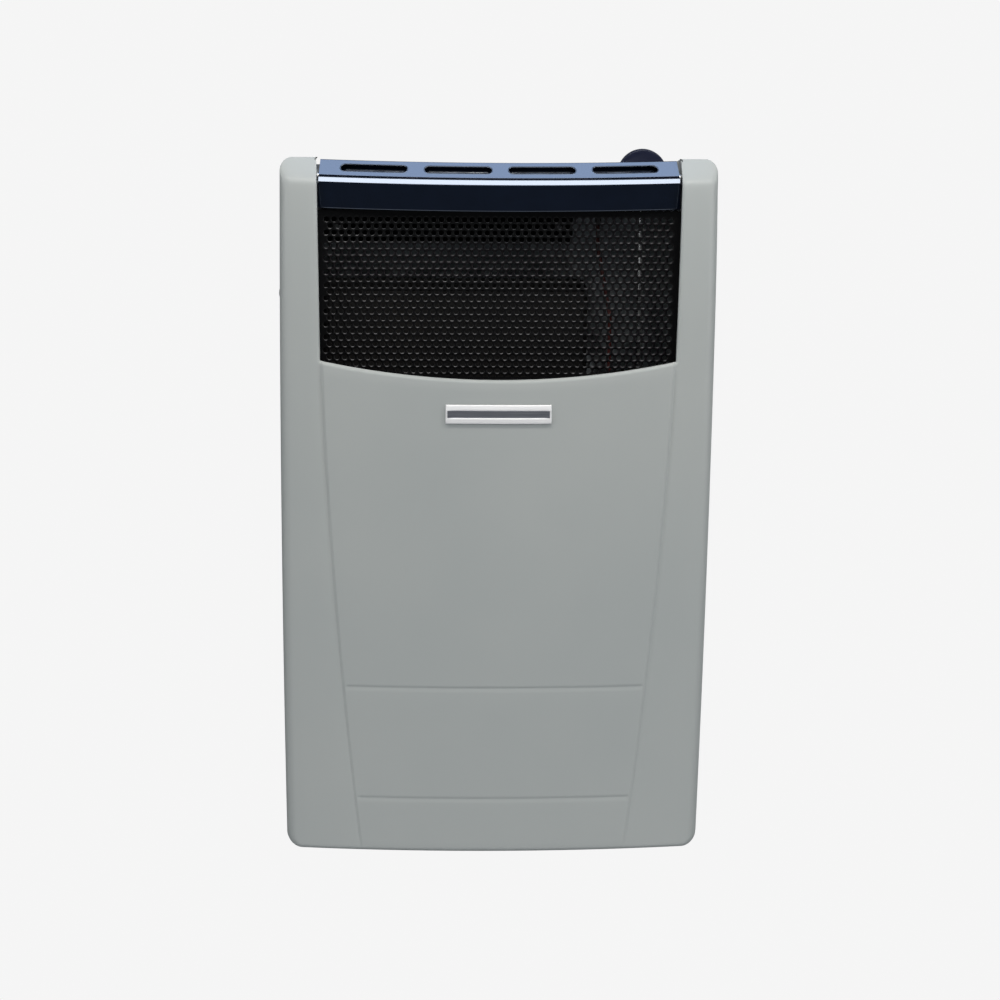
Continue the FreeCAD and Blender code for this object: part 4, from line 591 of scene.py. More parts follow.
def half_row(level):
    """The right half of a row under the opening, bent up towards its curved lower edge."""
    bend = max(0.0, (level - WARP_FOOT) / (NOTCH_LOW_POINT - WARP_FOOT))
    end_z = level + bend * (NOTCH_FOOT - NOTCH_LOW_POINT)
    line = panel_half(end_z)
    columns = [(line - PANEL_GAP) * step / PANEL_COLUMNS for step in range(PANEL_COLUMNS + 1)]
    columns += [line - gap for gap in LINE_GAPS]
    columns += outer_columns(line + NOTCH_LOW_HALF - panel_half(NOTCH_FOOT), row_end(end_z))
    places = []
    for x in columns:
        z = level + bend * (notch_floor(x) - NOTCH_LOW_POINT)
        places.append((x, casing_front(x, z), z))
    return places


def mirrored(places):
    return [(-x, y, z) for x, y, z in places]


low_right = [half_row(level) for level in LOW_ROWS]
high_right = [[(x, casing_front(x, z), z) for x in outer_columns(notch_half(z), row_end(z))]
              for z in HIGH_ROWS]
print("rows", len(low_right), "+", len(high_right), "columns", len(low_right[0]), len(high_right[0]))

# %% The roofs of the cheeks
SQUARE_START, SQUARE_MOST = 0.6, 0.8
ROOF_SHARES = (0, 0.03, 0.3, 0.55, 0.62, 0.70, 0.78, 0.85, 0.97, 1.0)
roof_slope, roof_foot = ROOF_DROP / ROOF_FRONT, RIDGE - ROOF_DROP
corner_edge = [row[-1] for row in high_right if row[-1][2] >= CORNER_FOOT]
roof_front = high_right[-1] + corner_edge[-2::-1]
corner_low = corner_edge[0][2] + corner_edge[0][1] * roof_slope
roof_back = []
for x, y, z in high_right[-1]:
    spread = (x - notch_half(RIDGE)) / (row_end(RIDGE) - notch_half(RIDGE))
    inner = notch_half(roof_foot)
    roof_back.append((inner + spread * (side_half(roof_foot) - inner), -BACK_GAP, roof_foot))
for step in range(1, len(corner_edge)):
    low = roof_foot + (corner_low - roof_foot) * step / (len(corner_edge) - 1)
    roof_back.append((side_half(low), -BACK_GAP, low))


def roof_place(front, back, share):
    """The rounded corner runs straight back, and gets squarer where it meets the back panel."""
    y = front[1] + (back[1] - front[1]) * share
    square = SQUARE_MOST * ease((share - SQUARE_START) / (1 - SQUARE_START))
    z_round = front[2] - roof_slope * (y - front[1])
    z_square = back[2] - roof_slope * y
    return (front[0] + (back[0] - front[0]) * square, y, z_round + (z_square - z_round) * square)


roof_rows = [[roof_place(front, back, share) for front, back in zip(roof_front, roof_back)]
             for share in ROOF_SHARES]
print("roof rows", len(roof_rows), "columns", len(roof_front))

# %% Sheets that run back from the front
SIDE_SHARES, WALL_SHARES = (0, 0.04, 0.3, 0.6, 0.9, 1.0), (0, 0.1, 0.5, 0.9, 1.0)
COLLAR_SHARES, COLLAR_DROP, COLLAR_LEAST, FLANGE = (0, 0.08, 0.5, 1.0), 10.0, 12.0, 10.0


def back_edge(z):
    return 0.0 if z <= RIDGE - ROOF_DROP else roof_face(z)


def back_run(x, y, z, end, shares):
    return [(x, y + (end - y) * share, z) for share in shares]


def side_end(z):
    """The side runs to the back, or to the lower line of the swept corner."""
    return min(-BACK_GAP, corner_edge[0][1] + (corner_edge[0][2] - z) / roof_slope)


side_rows = [back_run(*row[-1], side_end(row[-1][2]), SIDE_SHARES)
             for row in low_right + high_right[1:] if row[-1][2] < corner_edge[0][2]]
side_rows.append([roof_rows[0][-1]] * len(side_rows[-1]))
notch_edge = [row[0] for row in reversed(high_right)]


def collar_end(y, z):
    """The collar stops at the grille, or a little behind the facet, but never behind the roof."""
    reach = max(GRILLE_SEAT, y + COLLAR_LEAST * ridge_room(z))
    return reach if z < WALL_FOOT else min(reach, back_edge(z))


collar_rows = [back_run(x, y, z, collar_end(y, z), COLLAR_SHARES) for x, y, z in notch_edge]
wall_rows = [back_run(x, collar_end(y, z), z, back_edge(z), WALL_SHARES)
             for x, y, z in notch_edge if z >= WALL_FOOT]
flange_rows = [[(x, GRILLE_SEAT, z), (x + FLANGE, GRILLE_SEAT, z)]
               for x, y, z in notch_edge if z <= GRILLE_TOP]
print("side rows", len(side_rows), "collar rows", len(collar_rows))

# %% Sheets along the arch under the opening, and the bottom
arch_right = [place for place in low_right[-1] if place[0] <= NOTCH_LOW_HALF + 1e-6]
arch = mirrored(reversed(arch_right[1:])) + arch_right
arch_collar = []
for x, y, z in arch:
    run = back_run(x, y, z, GRILLE_SEAT, COLLAR_SHARES)
    arch_collar.append([(x, place[1], z - COLLAR_DROP * share) for share, place in zip(COLLAR_SHARES, run)])
collar_rows[-1] = arch_collar[-1]
arch_flange = [[(x, y, z), (x * (1 + FLANGE / NOTCH_LOW_HALF), y, z - FLANGE)]
               for x, y, z in (run[-1] for run in arch_collar)]
flange_rows[-1] = arch_flange[-1]
bottom_right = [[place, (place[0], -GRILLE_DEPTH, place[2])] for place in low_right[0]]
bottom_rows = [mirrored(pair) for pair in reversed(bottom_right[1:])] + bottom_right
print("arch points", len(arch), "bottom rows", len(bottom_rows))

# %% Join the sheets and give them their thickness
PAINTED, BLACK = 0, 1


def add_sheet(shape, rows, finish=PAINTED):
    """Adds rows of places in millimetres as a sheet of quads."""
    grid_faces(shape, [[row_point(*place) for place in row] for row in rows], finish)


casing_shape = bmesh.new()
full_rows = [mirrored(reversed(row[1:])) + row for row in low_right]
for rows, finish in ((full_rows, PAINTED), (arch_collar, BLACK), (arch_flange, BLACK),
                     (bottom_rows, PAINTED)):
    add_sheet(casing_shape, rows, finish)
for rows, finish in ((high_right, PAINTED), (side_rows, PAINTED), (roof_rows, PAINTED), (collar_rows, BLACK),
                     (wall_rows, PAINTED), (flange_rows, BLACK)):
    add_sheet(casing_shape, rows, finish)
    add_sheet(casing_shape, [mirrored(row) for row in rows], finish)
outward(casing_shape, (0, -1, 0))
casing = mesh_object("casing_sheet", casing_shape)
smooth_sheet(thickened(casing, SHEET))
hand_over(casing, "front_casing", "casing_paint", "grille_black")

# %% [markdown]
# ## The visor
# A bent strip with a bow: its section is a short list of corners, each rounded with a bend radius,
# turned about an upright axis behind the heater. A sweep in code keeps the bend radii exact and
# lets each point of the section end on the drawn-in end line. A fine step under the front edge of
# the sloping top draws the dark line of the photograph.

# %% Section of the visor: (setback, height, bend radius)
VISOR_FRONT, VISOR_BOW, VISOR_HALF, VISOR_TAPER = 175.0, 20.0, 165.0, 2.2
VISOR_REAR, VISOR_SHEET, LONG_RUN, BEND_HOLD = 21.0, 1.2, 4.0, 0.4
VISOR_RADIUS = (VISOR_HALF ** 2 + VISOR_BOW ** 2) / (2 * VISOR_BOW)
VISOR_SECTION = [(4.5, 601.0, 0.0), (0.0, 601.0, 1.4), (0.0, 625.4, 1.2), (3.0, 629.9, 0.5),
                 (4.4, 629.3, 0.3), (4.7, 631.4, 0.4), (VISOR_REAR, 643.7, 0.5), (VISOR_REAR, 620.0, 0.0)]


def rounded_section(corners, steps=5):
    """Corner points with an arc of short runs in place of each bend. A point close to each side of a
    long run's bend keeps the smooth shading of the flat parts flat."""
    made = []
    for index, (b, z, radius) in enumerate(corners):
        here = Vector((b, z))
        if not radius:
            made.append(here)
            continue
        before = (Vector(corners[index - 1][:2]) - here).normalized()
        after = (Vector(corners[index + 1][:2]) - here).normalized()
        half = before.angle(after) / 2
        reach = radius / math.tan(half)
        middle = here + (before + after).normalized() * radius / math.sin(half)
        first, last = here + before * reach - middle, here + after * reach - middle
        sweep_angle = first.angle_signed(last)
        if (Vector(corners[index - 1][:2]) - here).length > LONG_RUN:
            made.append(here + before * (reach + BEND_HOLD))
        for step in range(steps + 1):
            made.append(middle + Matrix.Rotation(-sweep_angle * step / steps, 2) @ first)
        if (Vector(corners[index + 1][:2]) - here).length > LONG_RUN:
            made.append(here + after * (reach + BEND_HOLD))
    return made


def visor_place(setback, z, share):
    """A point of the bowed visor. share runs from -1 at the left end to 1 at the right end."""
    radius = VISOR_RADIUS - setback
    axis = VISOR_RADIUS - VISOR_FRONT
    end = VISOR_HALF
    for _ in range(4):
        y_end = axis - math.sqrt(radius ** 2 - end ** 2)
        end = VISOR_HALF - VISOR_TAPER * (y_end + VISOR_FRONT - VISOR_BOW) / VISOR_REAR
    angle = share * math.asin(end / radius)
    return row_point(radius * math.sin(angle), axis - radius * math.cos(angle), z)


section = rounded_section(VISOR_SECTION)
print("section points", len(section))

# %% Sweep the visor and close its ends
VISOR_COLUMNS = 48
visor_shape = bmesh.new()
shares = [2 * step / VISOR_COLUMNS - 1 for step in range(VISOR_COLUMNS + 1)]
grid_faces(visor_shape, [[visor_place(b, z, share) for share in shares] for b, z in section])
for share in (-1, 1):
    visor_shape.faces.new([visor_shape.verts.new(visor_place(b, z, share)) for b, z in section])
outward(visor_shape, (0, -1, 0))
visor = thickened(mesh_object("visor_sheet", visor_shape), VISOR_SHEET)
print("visor faces before its slots", len(visor.data.polygons))

# %% [markdown]
# The four slots repeat along the bow, so Geometry Nodes places one rounded cutter four times and
# takes it out of the sheet. The cutter is bowed like the visor. A bevel on the cut sheet would be
# ragged where the cut meets its long thin faces, so the same tree lays a thin round bead along
# each cut as its rolled rim. The tree has inputs for the count, the pitch and the slot's size.

# %% Helpers for node trees
def new_tree(name, inputs):
    """A Geometry Nodes tree with a mesh in, a mesh out and named inputs."""
    tree = bpy.data.node_groups.new(name, "GeometryNodeTree")
    tree.interface.new_socket("Mesh", in_out="INPUT", socket_type="NodeSocketGeometry")
    for label, kind in inputs.items():
        tree.interface.new_socket(label, in_out="INPUT", socket_type="NodeSocket" + kind)
    tree.interface.new_socket("Mesh", in_out="OUTPUT", socket_type="NodeSocketGeometry")
    return tree, tree.nodes.new("NodeGroupInput").outputs, tree.nodes.new("NodeGroupOutput").inputs[0]


def put(tree, kind, links=None, **settings):
    """Adds a node. links maps an input's name or number to an output or a value."""
    made = tree.nodes.new(kind)
    for setting, value in settings.items():
        setattr(made, setting, value)
    for socket, value in (links or {}).items():
        if isinstance(value, bpy.types.NodeSocket):
            tree.links.new(value, made.inputs[socket])
        else:
            made.inputs[socket].default_value = value
    return made.outputs


def flow(tree, kind, links=None, **settings):
    """Adds a node and gives its first output."""
    return put(tree, kind, links, **settings)[0]


def maths(tree, operation, *values):
    return flow(tree, "ShaderNodeMath", dict(enumerate(values)), operation=operation)


def vector(tree, **parts):
    return flow(tree, "ShaderNodeCombineXYZ", parts)


def shifted(tree, geometry, **links):
    return flow(tree, "GeometryNodeSetPosition", {"Geometry": geometry, **links})


def joined(tree, *parts):
    made = tree.nodes.new("GeometryNodeJoinGeometry")
    for part in parts:
        tree.links.new(part, made.inputs[0])
    return made.outputs[0]


def scattered(tree, points, shape, **links):
    return flow(tree, "GeometryNodeInstanceOnPoints", {"Points": points, "Instance": shape, **links})


def realised(tree, geometry):
    return flow(tree, "GeometryNodeRealizeInstances", {0: geometry})


def cut_away(tree, body, tool):
    return flow(tree, "GeometryNodeMeshBoolean", {"Mesh 1": body, "Mesh 2": tool}, operation="DIFFERENCE")


def painted(tree, geometry, finish, **links):
    return flow(tree, "GeometryNodeSetMaterial", {"Geometry": geometry, "Material": finish, **links})


def run_tree(piece, tree, values):
    """Sets the inputs by their identifiers, bakes the result and removes the modifier."""
    modifier = piece.modifiers.new(tree.name, "NODES")
    modifier.node_group = tree
    for item in tree.interface.items_tree:
        if item.in_out == "INPUT" and item.name in values:
            modifier[item.identifier] = values[item.name]
    print(tree.name, "nodes", len(tree.nodes))
    return baked(piece)


# %% One slot: its outline, its rim and its cutter
SLOT_SIZES = {"Count": 4, "Pitch": 76.4 * MM, "Length": 62.0 * MM, "Width": 9.6 * MM}
SLOT_SETBACK, SLOT_HEIGHT, SLOT_EDGE, RIM_SINK = 12.6, 637.4, 0.8, 0.8
SLOT_POINTS, END_STEPS, END_SHARE, RIM_SIDES, CUT_REACH = 72, 8, 0.495, 8, 8.0
slope_foot, slope_top = VISOR_SECTION[5], VISOR_SECTION[6]
SLOPE = math.atan2(slope_top[1] - slope_foot[1], slope_top[0] - slope_foot[0])
slot_radius = (VISOR_RADIUS - SLOT_SETBACK) * MM
slot_tree, given, result = new_tree("slot_cutter", {"Count": "Int", "Pitch": "Float", "Length": "Float",
                                                    "Width": "Float", "Finish": "Material"})
tree = slot_tree
outline = flow(tree, "GeometryNodeCurvePrimitiveQuadrilateral",
               {"Width": given["Length"], "Height": given["Width"]})
round_end = maths(tree, "MULTIPLY", given["Width"], END_SHARE)
outline = flow(tree, "GeometryNodeFilletCurve", {"Curve": outline, "Radius": round_end, "Count": END_STEPS},
               mode="POLY")
outline = flow(tree, "GeometryNodeResampleCurve", {"Curve": outline, "Count": SLOT_POINTS}, mode="COUNT")
across = put(tree, "ShaderNodeSeparateXYZ", {0: flow(tree, "GeometryNodeInputPosition")})["X"]
bow_back = maths(tree, "DIVIDE", maths(tree, "MULTIPLY", across, across), 2 * slot_radius)
bow = vector(tree, Y=maths(tree, "MULTIPLY", bow_back, math.cos(SLOPE)),
             Z=maths(tree, "MULTIPLY", bow_back, -math.sin(SLOPE)))
outline = shifted(tree, outline, Offset=bow)
edge_round = flow(tree, "GeometryNodeCurvePrimitiveCircle",
                  {"Resolution": RIM_SIDES, "Radius": SLOT_EDGE * MM}, mode="RADIUS")
rim = flow(tree, "GeometryNodeCurveToMesh", {"Curve": outline, "Profile Curve": edge_round})
rim = shifted(tree, rim, Offset=(0, 0, -SLOT_EDGE * RIM_SINK * MM))
path = flow(tree, "GeometryNodeCurvePrimitiveLine",
            {"Start": (0, 0, -CUT_REACH * MM), "End": (0, 0, CUT_REACH * MM)})
cutter = flow(tree, "GeometryNodeCurveToMesh", {"Curve": path, "Profile Curve": outline, "Fill Caps": True})

# %% Place the slots along the bow and cut them
seats = flow(tree, "GeometryNodeMeshLine", {"Count": given["Count"]}, mode="OFFSET")
centre = maths(tree, "MULTIPLY", maths(tree, "SUBTRACT", given["Count"], 1.0), 0.5)
index = flow(tree, "GeometryNodeInputIndex")
along = maths(tree, "MULTIPLY", maths(tree, "SUBTRACT", index, centre), given["Pitch"])
angle = maths(tree, "ARCSINE", maths(tree, "DIVIDE", along, slot_radius))
depth = maths(tree, "MULTIPLY", maths(tree, "COSINE", angle), -slot_radius)
place = vector(tree, X=along, Y=maths(tree, "ADD", depth, (VISOR_RADIUS - VISOR_FRONT) * MM),
               Z=(SLOT_HEIGHT - ORIGIN_HEIGHT) * MM)
seats = shifted(tree, seats, Position=place)
lean_in = vector(tree, X=SLOPE, Z=angle)
cutters = realised(tree, scattered(tree, seats, cutter, Rotation=lean_in))
rims = realised(tree, scattered(tree, seats, rim, Rotation=lean_in))
slotted = joined(tree, cut_away(tree, given["Mesh"], cutters), rims)
tree.links.new(painted(tree, slotted, given["Finish"]), result)
run_tree(visor, slot_tree, {**SLOT_SIZES, "Finish": FINISH["visor_enamel"]})
smooth_sheet(visor, 50)
hand_over(visor, "visor")

# %% [markdown]
# ## The grille
# Perforated sheet has its holes in staggered rows, so that each hole sits in a six-sided cell. One cell with
# its hole wall is a few dozen faces, and Geometry Nodes lays about twelve hundred of them side by side. The
# holes come close to the opening's edge, and cells beyond that have none, as the plain margin of the real
# sheet. A face attribute marks the upward-facing lower edge of each hole, which gets a grey paint as a
# painted highlight. A narrow strip closes the outer edge behind the casing.

# %% One cell of the grille, with and without its hole
PITCH, HOLE_RADIUS, GRILLE_SHEET, HOLE_SOFT = 7.0, 2.5, 1.0, 0.5
CELL_SIDES = 12
EDGE_LOOKS_UP, EDGE_LOOKS_OUT = 0.6, -0.3


def cell_ring(y, radius=None):
    """Twelve points round a hole of a radius, or round the six-sided cell."""
    ring = []
    for step in range(CELL_SIDES):
        turn_angle = 2 * math.pi * step / CELL_SIDES + math.pi / 6
        reach = radius or (PITCH / 2 if step % 2 else PITCH / math.sqrt(3))
        ring.append(Vector((reach * math.cos(turn_angle), y, reach * math.sin(turn_angle))) * MM)
    return ring


def cell_object(name, open_hole):
    shape = bmesh.new()
    front, back = cell_ring(0.0), cell_ring(GRILLE_SHEET)
    if open_hole:
        rings = [back, cell_ring(GRILLE_SHEET, HOLE_RADIUS), cell_ring(HOLE_SOFT, HOLE_RADIUS),
                 cell_ring(0.0, HOLE_RADIUS + HOLE_SOFT), front]
        grid_faces(shape, [ring + ring[:1] for ring in rings])
    else:
        for ring in (front, back[::-1]):
            shape.faces.new([shape.verts.new(point) for point in ring])
    bmesh.ops.remove_doubles(shape, verts=shape.verts, dist=1e-7)
    flip = []
    for face in shape.faces:
        in_front = face.calc_center_median().y < GRILLE_SHEET * MM / 2
        if face.normal.y * (1 if in_front else -1) > 0.5:
            flip.append(face)
    bmesh.ops.reverse_faces(shape, faces=flip)
    cell = mesh_object(name, shape)
    # Faces on the lower edge of each hole that look up and out are marked for the painted highlight.
    highlight_flags = cell.data.attributes.new("lower_edge", "BOOLEAN", "FACE")
    for face in cell.data.polygons:
        highlight_flags.data[face.index].value = face.normal.z > EDGE_LOOKS_UP and face.normal.y < EDGE_LOOKS_OUT
    return cell


open_cell = cell_object("grille_cell_open", True)
plain_cell = cell_object("grille_cell_plain", False)
print("cell faces", len(open_cell.data.polygons), len(plain_cell.data.polygons))

# %% Places of the cells
GRILLE_VALUES = {"Pitch": PITCH * MM, "Columns": 51, "Rows": 30, "Open margin": 3.4 * MM,
                 "Side margin": 1.8 * MM, "Top margin": 6.0 * MM, "Low margin": 4.0 * MM,
                 "Sheet margin": -6.4 * MM, "Low reach": 9.0 * MM, "Top": (GRILLE_TOP - ORIGIN_HEIGHT) * MM}
FIRST_ROW_DROP, CELL_WELD = 0.6, 0.00002
sockets = {"Open cell": "Object", "Plain cell": "Object", "Finish": "Material", "Edge finish": "Material"}
for label, value in GRILLE_VALUES.items():
    sockets[label] = "Int" if isinstance(value, int) else "Float"
grille_tree, given, result = new_tree("perforated_sheet", sockets)
tree = grille_tree
columns, pitch = given["Columns"], given["Pitch"]
count = maths(tree, "MULTIPLY", columns, given["Rows"])
seats = flow(tree, "GeometryNodeMeshLine", {"Count": count}, mode="OFFSET")
index = flow(tree, "GeometryNodeInputIndex")
row = maths(tree, "FLOOR", maths(tree, "DIVIDE", index, columns))
column = maths(tree, "SUBTRACT", index, maths(tree, "MULTIPLY", row, columns))
stagger = maths(tree, "MULTIPLY", maths(tree, "MODULO", row, 2.0), 0.5)
half_count = maths(tree, "MULTIPLY", maths(tree, "SUBTRACT", columns, 1.0), 0.5)
x = maths(tree, "MULTIPLY", maths(tree, "SUBTRACT", maths(tree, "ADD", column, stagger), half_count), pitch)
drop = maths(tree, "MULTIPLY", maths(tree, "MULTIPLY", row, pitch), math.sqrt(3) / 2)
z = maths(tree, "SUBTRACT", maths(tree, "SUBTRACT", given["Top"], drop), PITCH * FIRST_ROW_DROP * MM)
seats = shifted(tree, seats, Position=vector(tree, X=x, Y=-GRILLE_DEPTH * MM, Z=z))

# %% Which cells are open, plain or left out
spot = put(tree, "ShaderNodeSeparateXYZ", {0: flow(tree, "GeometryNodeInputPosition")})
spot_x = maths(tree, "ABSOLUTE", spot["X"])
from_foot = maths(tree, "SUBTRACT", spot["Z"], (NOTCH_FOOT - ORIGIN_HEIGHT) * MM)
side_lean = NOTCH_GAIN / (RIDGE - NOTCH_FOOT)
edge_x = maths(tree, "MULTIPLY_ADD", from_foot, side_lean, NOTCH_LOW_HALF * MM)
side_room = maths(tree, "SUBTRACT", edge_x, spot_x)
arch_middle = (NOTCH_LOW_POINT - ORIGIN_HEIGHT + NOTCH_RADIUS) * MM
from_middle = maths(tree, "SUBTRACT", spot["Z"], arch_middle)
reach = maths(tree, "SQRT", maths(tree, "ADD", maths(tree, "MULTIPLY", spot_x, spot_x),
                                  maths(tree, "MULTIPLY", from_middle, from_middle)))
arch_room = maths(tree, "ADD", maths(tree, "SUBTRACT", NOTCH_RADIUS * MM, reach), given["Low reach"])
top_room = maths(tree, "SUBTRACT", maths(tree, "SUBTRACT", given["Top"], spot["Z"]), given["Top margin"])
side_inner = maths(tree, "SUBTRACT", side_room, given["Side margin"])
open_room = maths(tree, "MINIMUM", maths(tree, "MINIMUM", side_inner, arch_room), top_room)
is_open = maths(tree, "GREATER_THAN", open_room, given["Open margin"])
sheet_room = maths(tree, "MINIMUM", side_room, maths(tree, "SUBTRACT", arch_room, given["Low margin"]))
on_sheet = maths(tree, "GREATER_THAN", sheet_room, given["Sheet margin"])
laid = []
for label, chosen in (("Plain cell", maths(tree, "SUBTRACT", on_sheet, is_open)), ("Open cell", is_open)):
    cell = put(tree, "GeometryNodeObjectInfo", {"Object": given[label]})["Geometry"]
    laid.append(scattered(tree, seats, cell, Selection=chosen))
solid = realised(tree, joined(tree, *laid, given["Mesh"]))
welded = flow(tree, "GeometryNodeMergeByDistance", {"Geometry": solid, "Distance": CELL_WELD})
# The marked lower edges of the holes get grey paint as a painted highlight.
lower_edge = flow(tree, "GeometryNodeInputNamedAttribute", {"Name": "lower_edge"}, data_type="BOOLEAN")
black = painted(tree, welded, given["Finish"])
tree.links.new(painted(tree, black, given["Edge finish"], Selection=lower_edge), result)
print("grille places", GRILLE_VALUES["Columns"] * GRILLE_VALUES["Rows"])

# %% Edge strip and the finished grille
STRIP_INNER, STRIP_OUTER, STRIP_INSET, ARCH_STEPS = 3.0, 10.8, 0.02, 12
STRIP_HEIGHTS = (GRILLE_TOP, 560.0, 510.0, NOTCH_FOOT)


def notch_path(grow):
    """The opening's outline, grown outwards: down the right side, along the arch, up the left."""
    right = [(notch_half(z) + grow, z) for z in STRIP_HEIGHTS]
    shares = [1 - step / ARCH_STEPS for step in range(2 * ARCH_STEPS + 1)]
    under = [(s * (NOTCH_LOW_HALF + grow), notch_floor(s * NOTCH_LOW_HALF) - grow) for s in shares]
    return right + under + [(-px, pz) for px, pz in reversed(right)]


strip_shape = bmesh.new()
inner_line, outer_line = notch_path(STRIP_INNER), notch_path(STRIP_OUTER)
strip_rings = []
for line, inset in ((inner_line, STRIP_INSET), (outer_line, STRIP_INSET),
                    (outer_line, GRILLE_SHEET - STRIP_INSET), (inner_line, GRILLE_SHEET - STRIP_INSET)):
    strip_rings.append([row_point(px, -GRILLE_DEPTH + inset, pz) for px, pz in line])
grid_faces(strip_shape, strip_rings)
outward(strip_shape, (0, -1, 0))
grille = mesh_object("grille_sheet", strip_shape)
# The grille gets its black paint, and grey paint on the lower hole edges as a painted highlight.
run_tree(grille, grille_tree, {**GRILLE_VALUES, "Open cell": open_cell, "Plain cell": plain_cell,
                               "Finish": FINISH["grille_black"], "Edge finish": FINISH["worn_edge"]})
smooth_sheet(grille, 60)
hand_over(grille, "grille")
bpy.data.objects.remove(open_cell)
bpy.data.objects.remove(plain_cell)

# %% [markdown]
# ## The badge plate
# A thin bright plate bent to the bow of the front, with a rolled rim and a shallow channel along
# its middle. It is a small height field like the casing, and its channel has a darker satin ground.

# %% Badge
BADGE_HALF, BADGE_TALL, BADGE_MIDDLE, BADGE_THICK = 48.5, 8.75, 416.3, 2.2
BADGE_ROLL, BADGE_LEAN, BADGE_FOOT = 0.8, 0.24, 0.3
CHANNEL_HALF, CHANNEL_END, CHANNEL_DEPTH, CHANNEL_SOFT = 3.6, 46.0, 0.8, 1.2
GROUND_HALF, GROUND_END = 3.4, 45.9
BADGE_X = [BADGE_HALF - gap for gap in (0.0, 0.1, 0.4, 0.8, 1.6)] + [42.0 - 6.0 * step for step in range(8)]
BADGE_Z = [BADGE_TALL - gap for gap in (0.0, 0.1, 0.4, 0.8, 1.6, 3.0)] + [4.4, 3.9, 3.3, 2.8, 1.4, 0.0]


def badge_place(x, z):
    """A point of the badge's face, its height counted from the badge's middle."""
    gap = min(BADGE_HALF - abs(x), BADGE_TALL - abs(z))
    out = BADGE_THICK - rolled(gap, BADGE_ROLL) - BADGE_LEAN * max(0.0, z - CHANNEL_HALF)
    in_height = ease((CHANNEL_HALF - abs(z)) / CHANNEL_SOFT + 0.5)
    in_length = ease((CHANNEL_END - abs(x)) / CHANNEL_SOFT + 0.5)
    return (x, panel_face(x, PANEL_RAISE + out - CHANNEL_DEPTH * in_height * in_length), BADGE_MIDDLE + z)


def badge_foot(line):
    """The line under an edge of the badge, close to the casing."""
    return [(x, panel_face(x, PANEL_RAISE + BADGE_FOOT), z) for x, y, z in line]


def both_ways(steps):
    return steps + [-step for step in reversed(steps[:-1])]


badge_shape = bmesh.new()
badge_rows = [[badge_place(x, z) for x in both_ways(BADGE_X)] for z in both_ways(BADGE_Z)]
add_sheet(badge_shape, [badge_foot(badge_rows[0])] + badge_rows + [badge_foot(badge_rows[-1])])
for end in (0, -1):
    edge_line = [row[end] for row in badge_rows]
    add_sheet(badge_shape, [edge_line, badge_foot(edge_line)])
outward(badge_shape, (0, -1, 0))
ground_middle = row_point(0, 0, BADGE_MIDDLE).z
for face in badge_shape.faces:
    middle = face.calc_center_median()
    in_channel = abs(middle.z - ground_middle) < GROUND_HALF * MM and abs(middle.x) < GROUND_END * MM
    face.material_index = int(in_channel)
badge = mesh_object("badge", badge_shape)
smooth_sheet(badge)
hand_over(badge, "badge_plate", "badge_metal", "badge_ground")

# %% [markdown]
# ## Screws
# All the small screws are the same pan head screw with a cross recess. Each CAD screw node is a set
# of loose screws, so their places and directions are measured from the node's own islands, and
# one Geometry Nodes tree makes the screw and puts it on those places. The screws in the casing have
# low heads painted over with it, and those of the grille are black.

# %% Where a node's screws are
SCREW_VALUES = {"Head radius": 3.8 * MM, "Head height": 2.2 * MM, "Shank radius": 2.0 * MM,
                "Recess": 0.9 * MM}
WIDER_THAN_SHANK = 3.0 * MM


def islands(shape):
    """The points of each loose part of a bmesh."""
    seen = set()
    for start in shape.verts:
        if start in seen:
            continue
        seen.add(start)
        island, front = [], [start]
        while front:
            vert = front.pop()
            island.append(vert.co.copy())
            others = [edge.other_vert(vert) for edge in vert.link_edges]
            front += [other for other in others if other not in seen]
            seen.update(others)
        yield island


def screw_place(points):
    """Seat of one screw, the direction its head looks, and its shank's length."""
    low = Vector([min(p[i] for p in points) for i in range(3)])
    high = Vector([max(p[i] for p in points) for i in range(3)])
    middle, size = (low + high) / 2, high - low
    axis = min(range(3), key=lambda i: abs(size[(i + 1) % 3] - size[(i + 2) % 3]))
    along = Vector([float(i == axis) for i in range(3)])
    wide = [p for p in points if (p - middle - along * (p - middle)[axis]).length > WIDER_THAN_SHANK]
    head = sum(p[axis] for p in wide) / len(wide) - middle[axis]
    look = along * math.copysign(1.0, head)
    head_height = SCREW_VALUES["Head height"]
    return middle + look * (size[axis] / 2 - head_height), look, size[axis] - head_height


def screw_places(node):
    shape = bmesh.new()
    shape.from_mesh(frame["nodes"][node].data)
    bmesh.ops.remove_doubles(shape, verts=shape.verts, dist=1e-6)
    places = [screw_place(points) for points in islands(shape)]
    shape.free()
    return places


# %% The screw tree
SLAB_SIZE, ARM_SHARE, CROSS_LIFT = (0.02, 0.02, 0.01), 1.15, 1.05
screw_tree, given, result = new_tree("pan_head_screw", {"Head radius": "Float", "Head height": "Float",
                                                        "Shank radius": "Float", "Shank length": "Float",
                                                        "Recess": "Float", "Finish": "Material"})
tree = screw_tree
head_radius, head_height, recess = given["Head radius"], given["Head height"], given["Recess"]


def moved(geometry, **links):
    return flow(screw_tree, "GeometryNodeTransform", {"Geometry": geometry, **links})


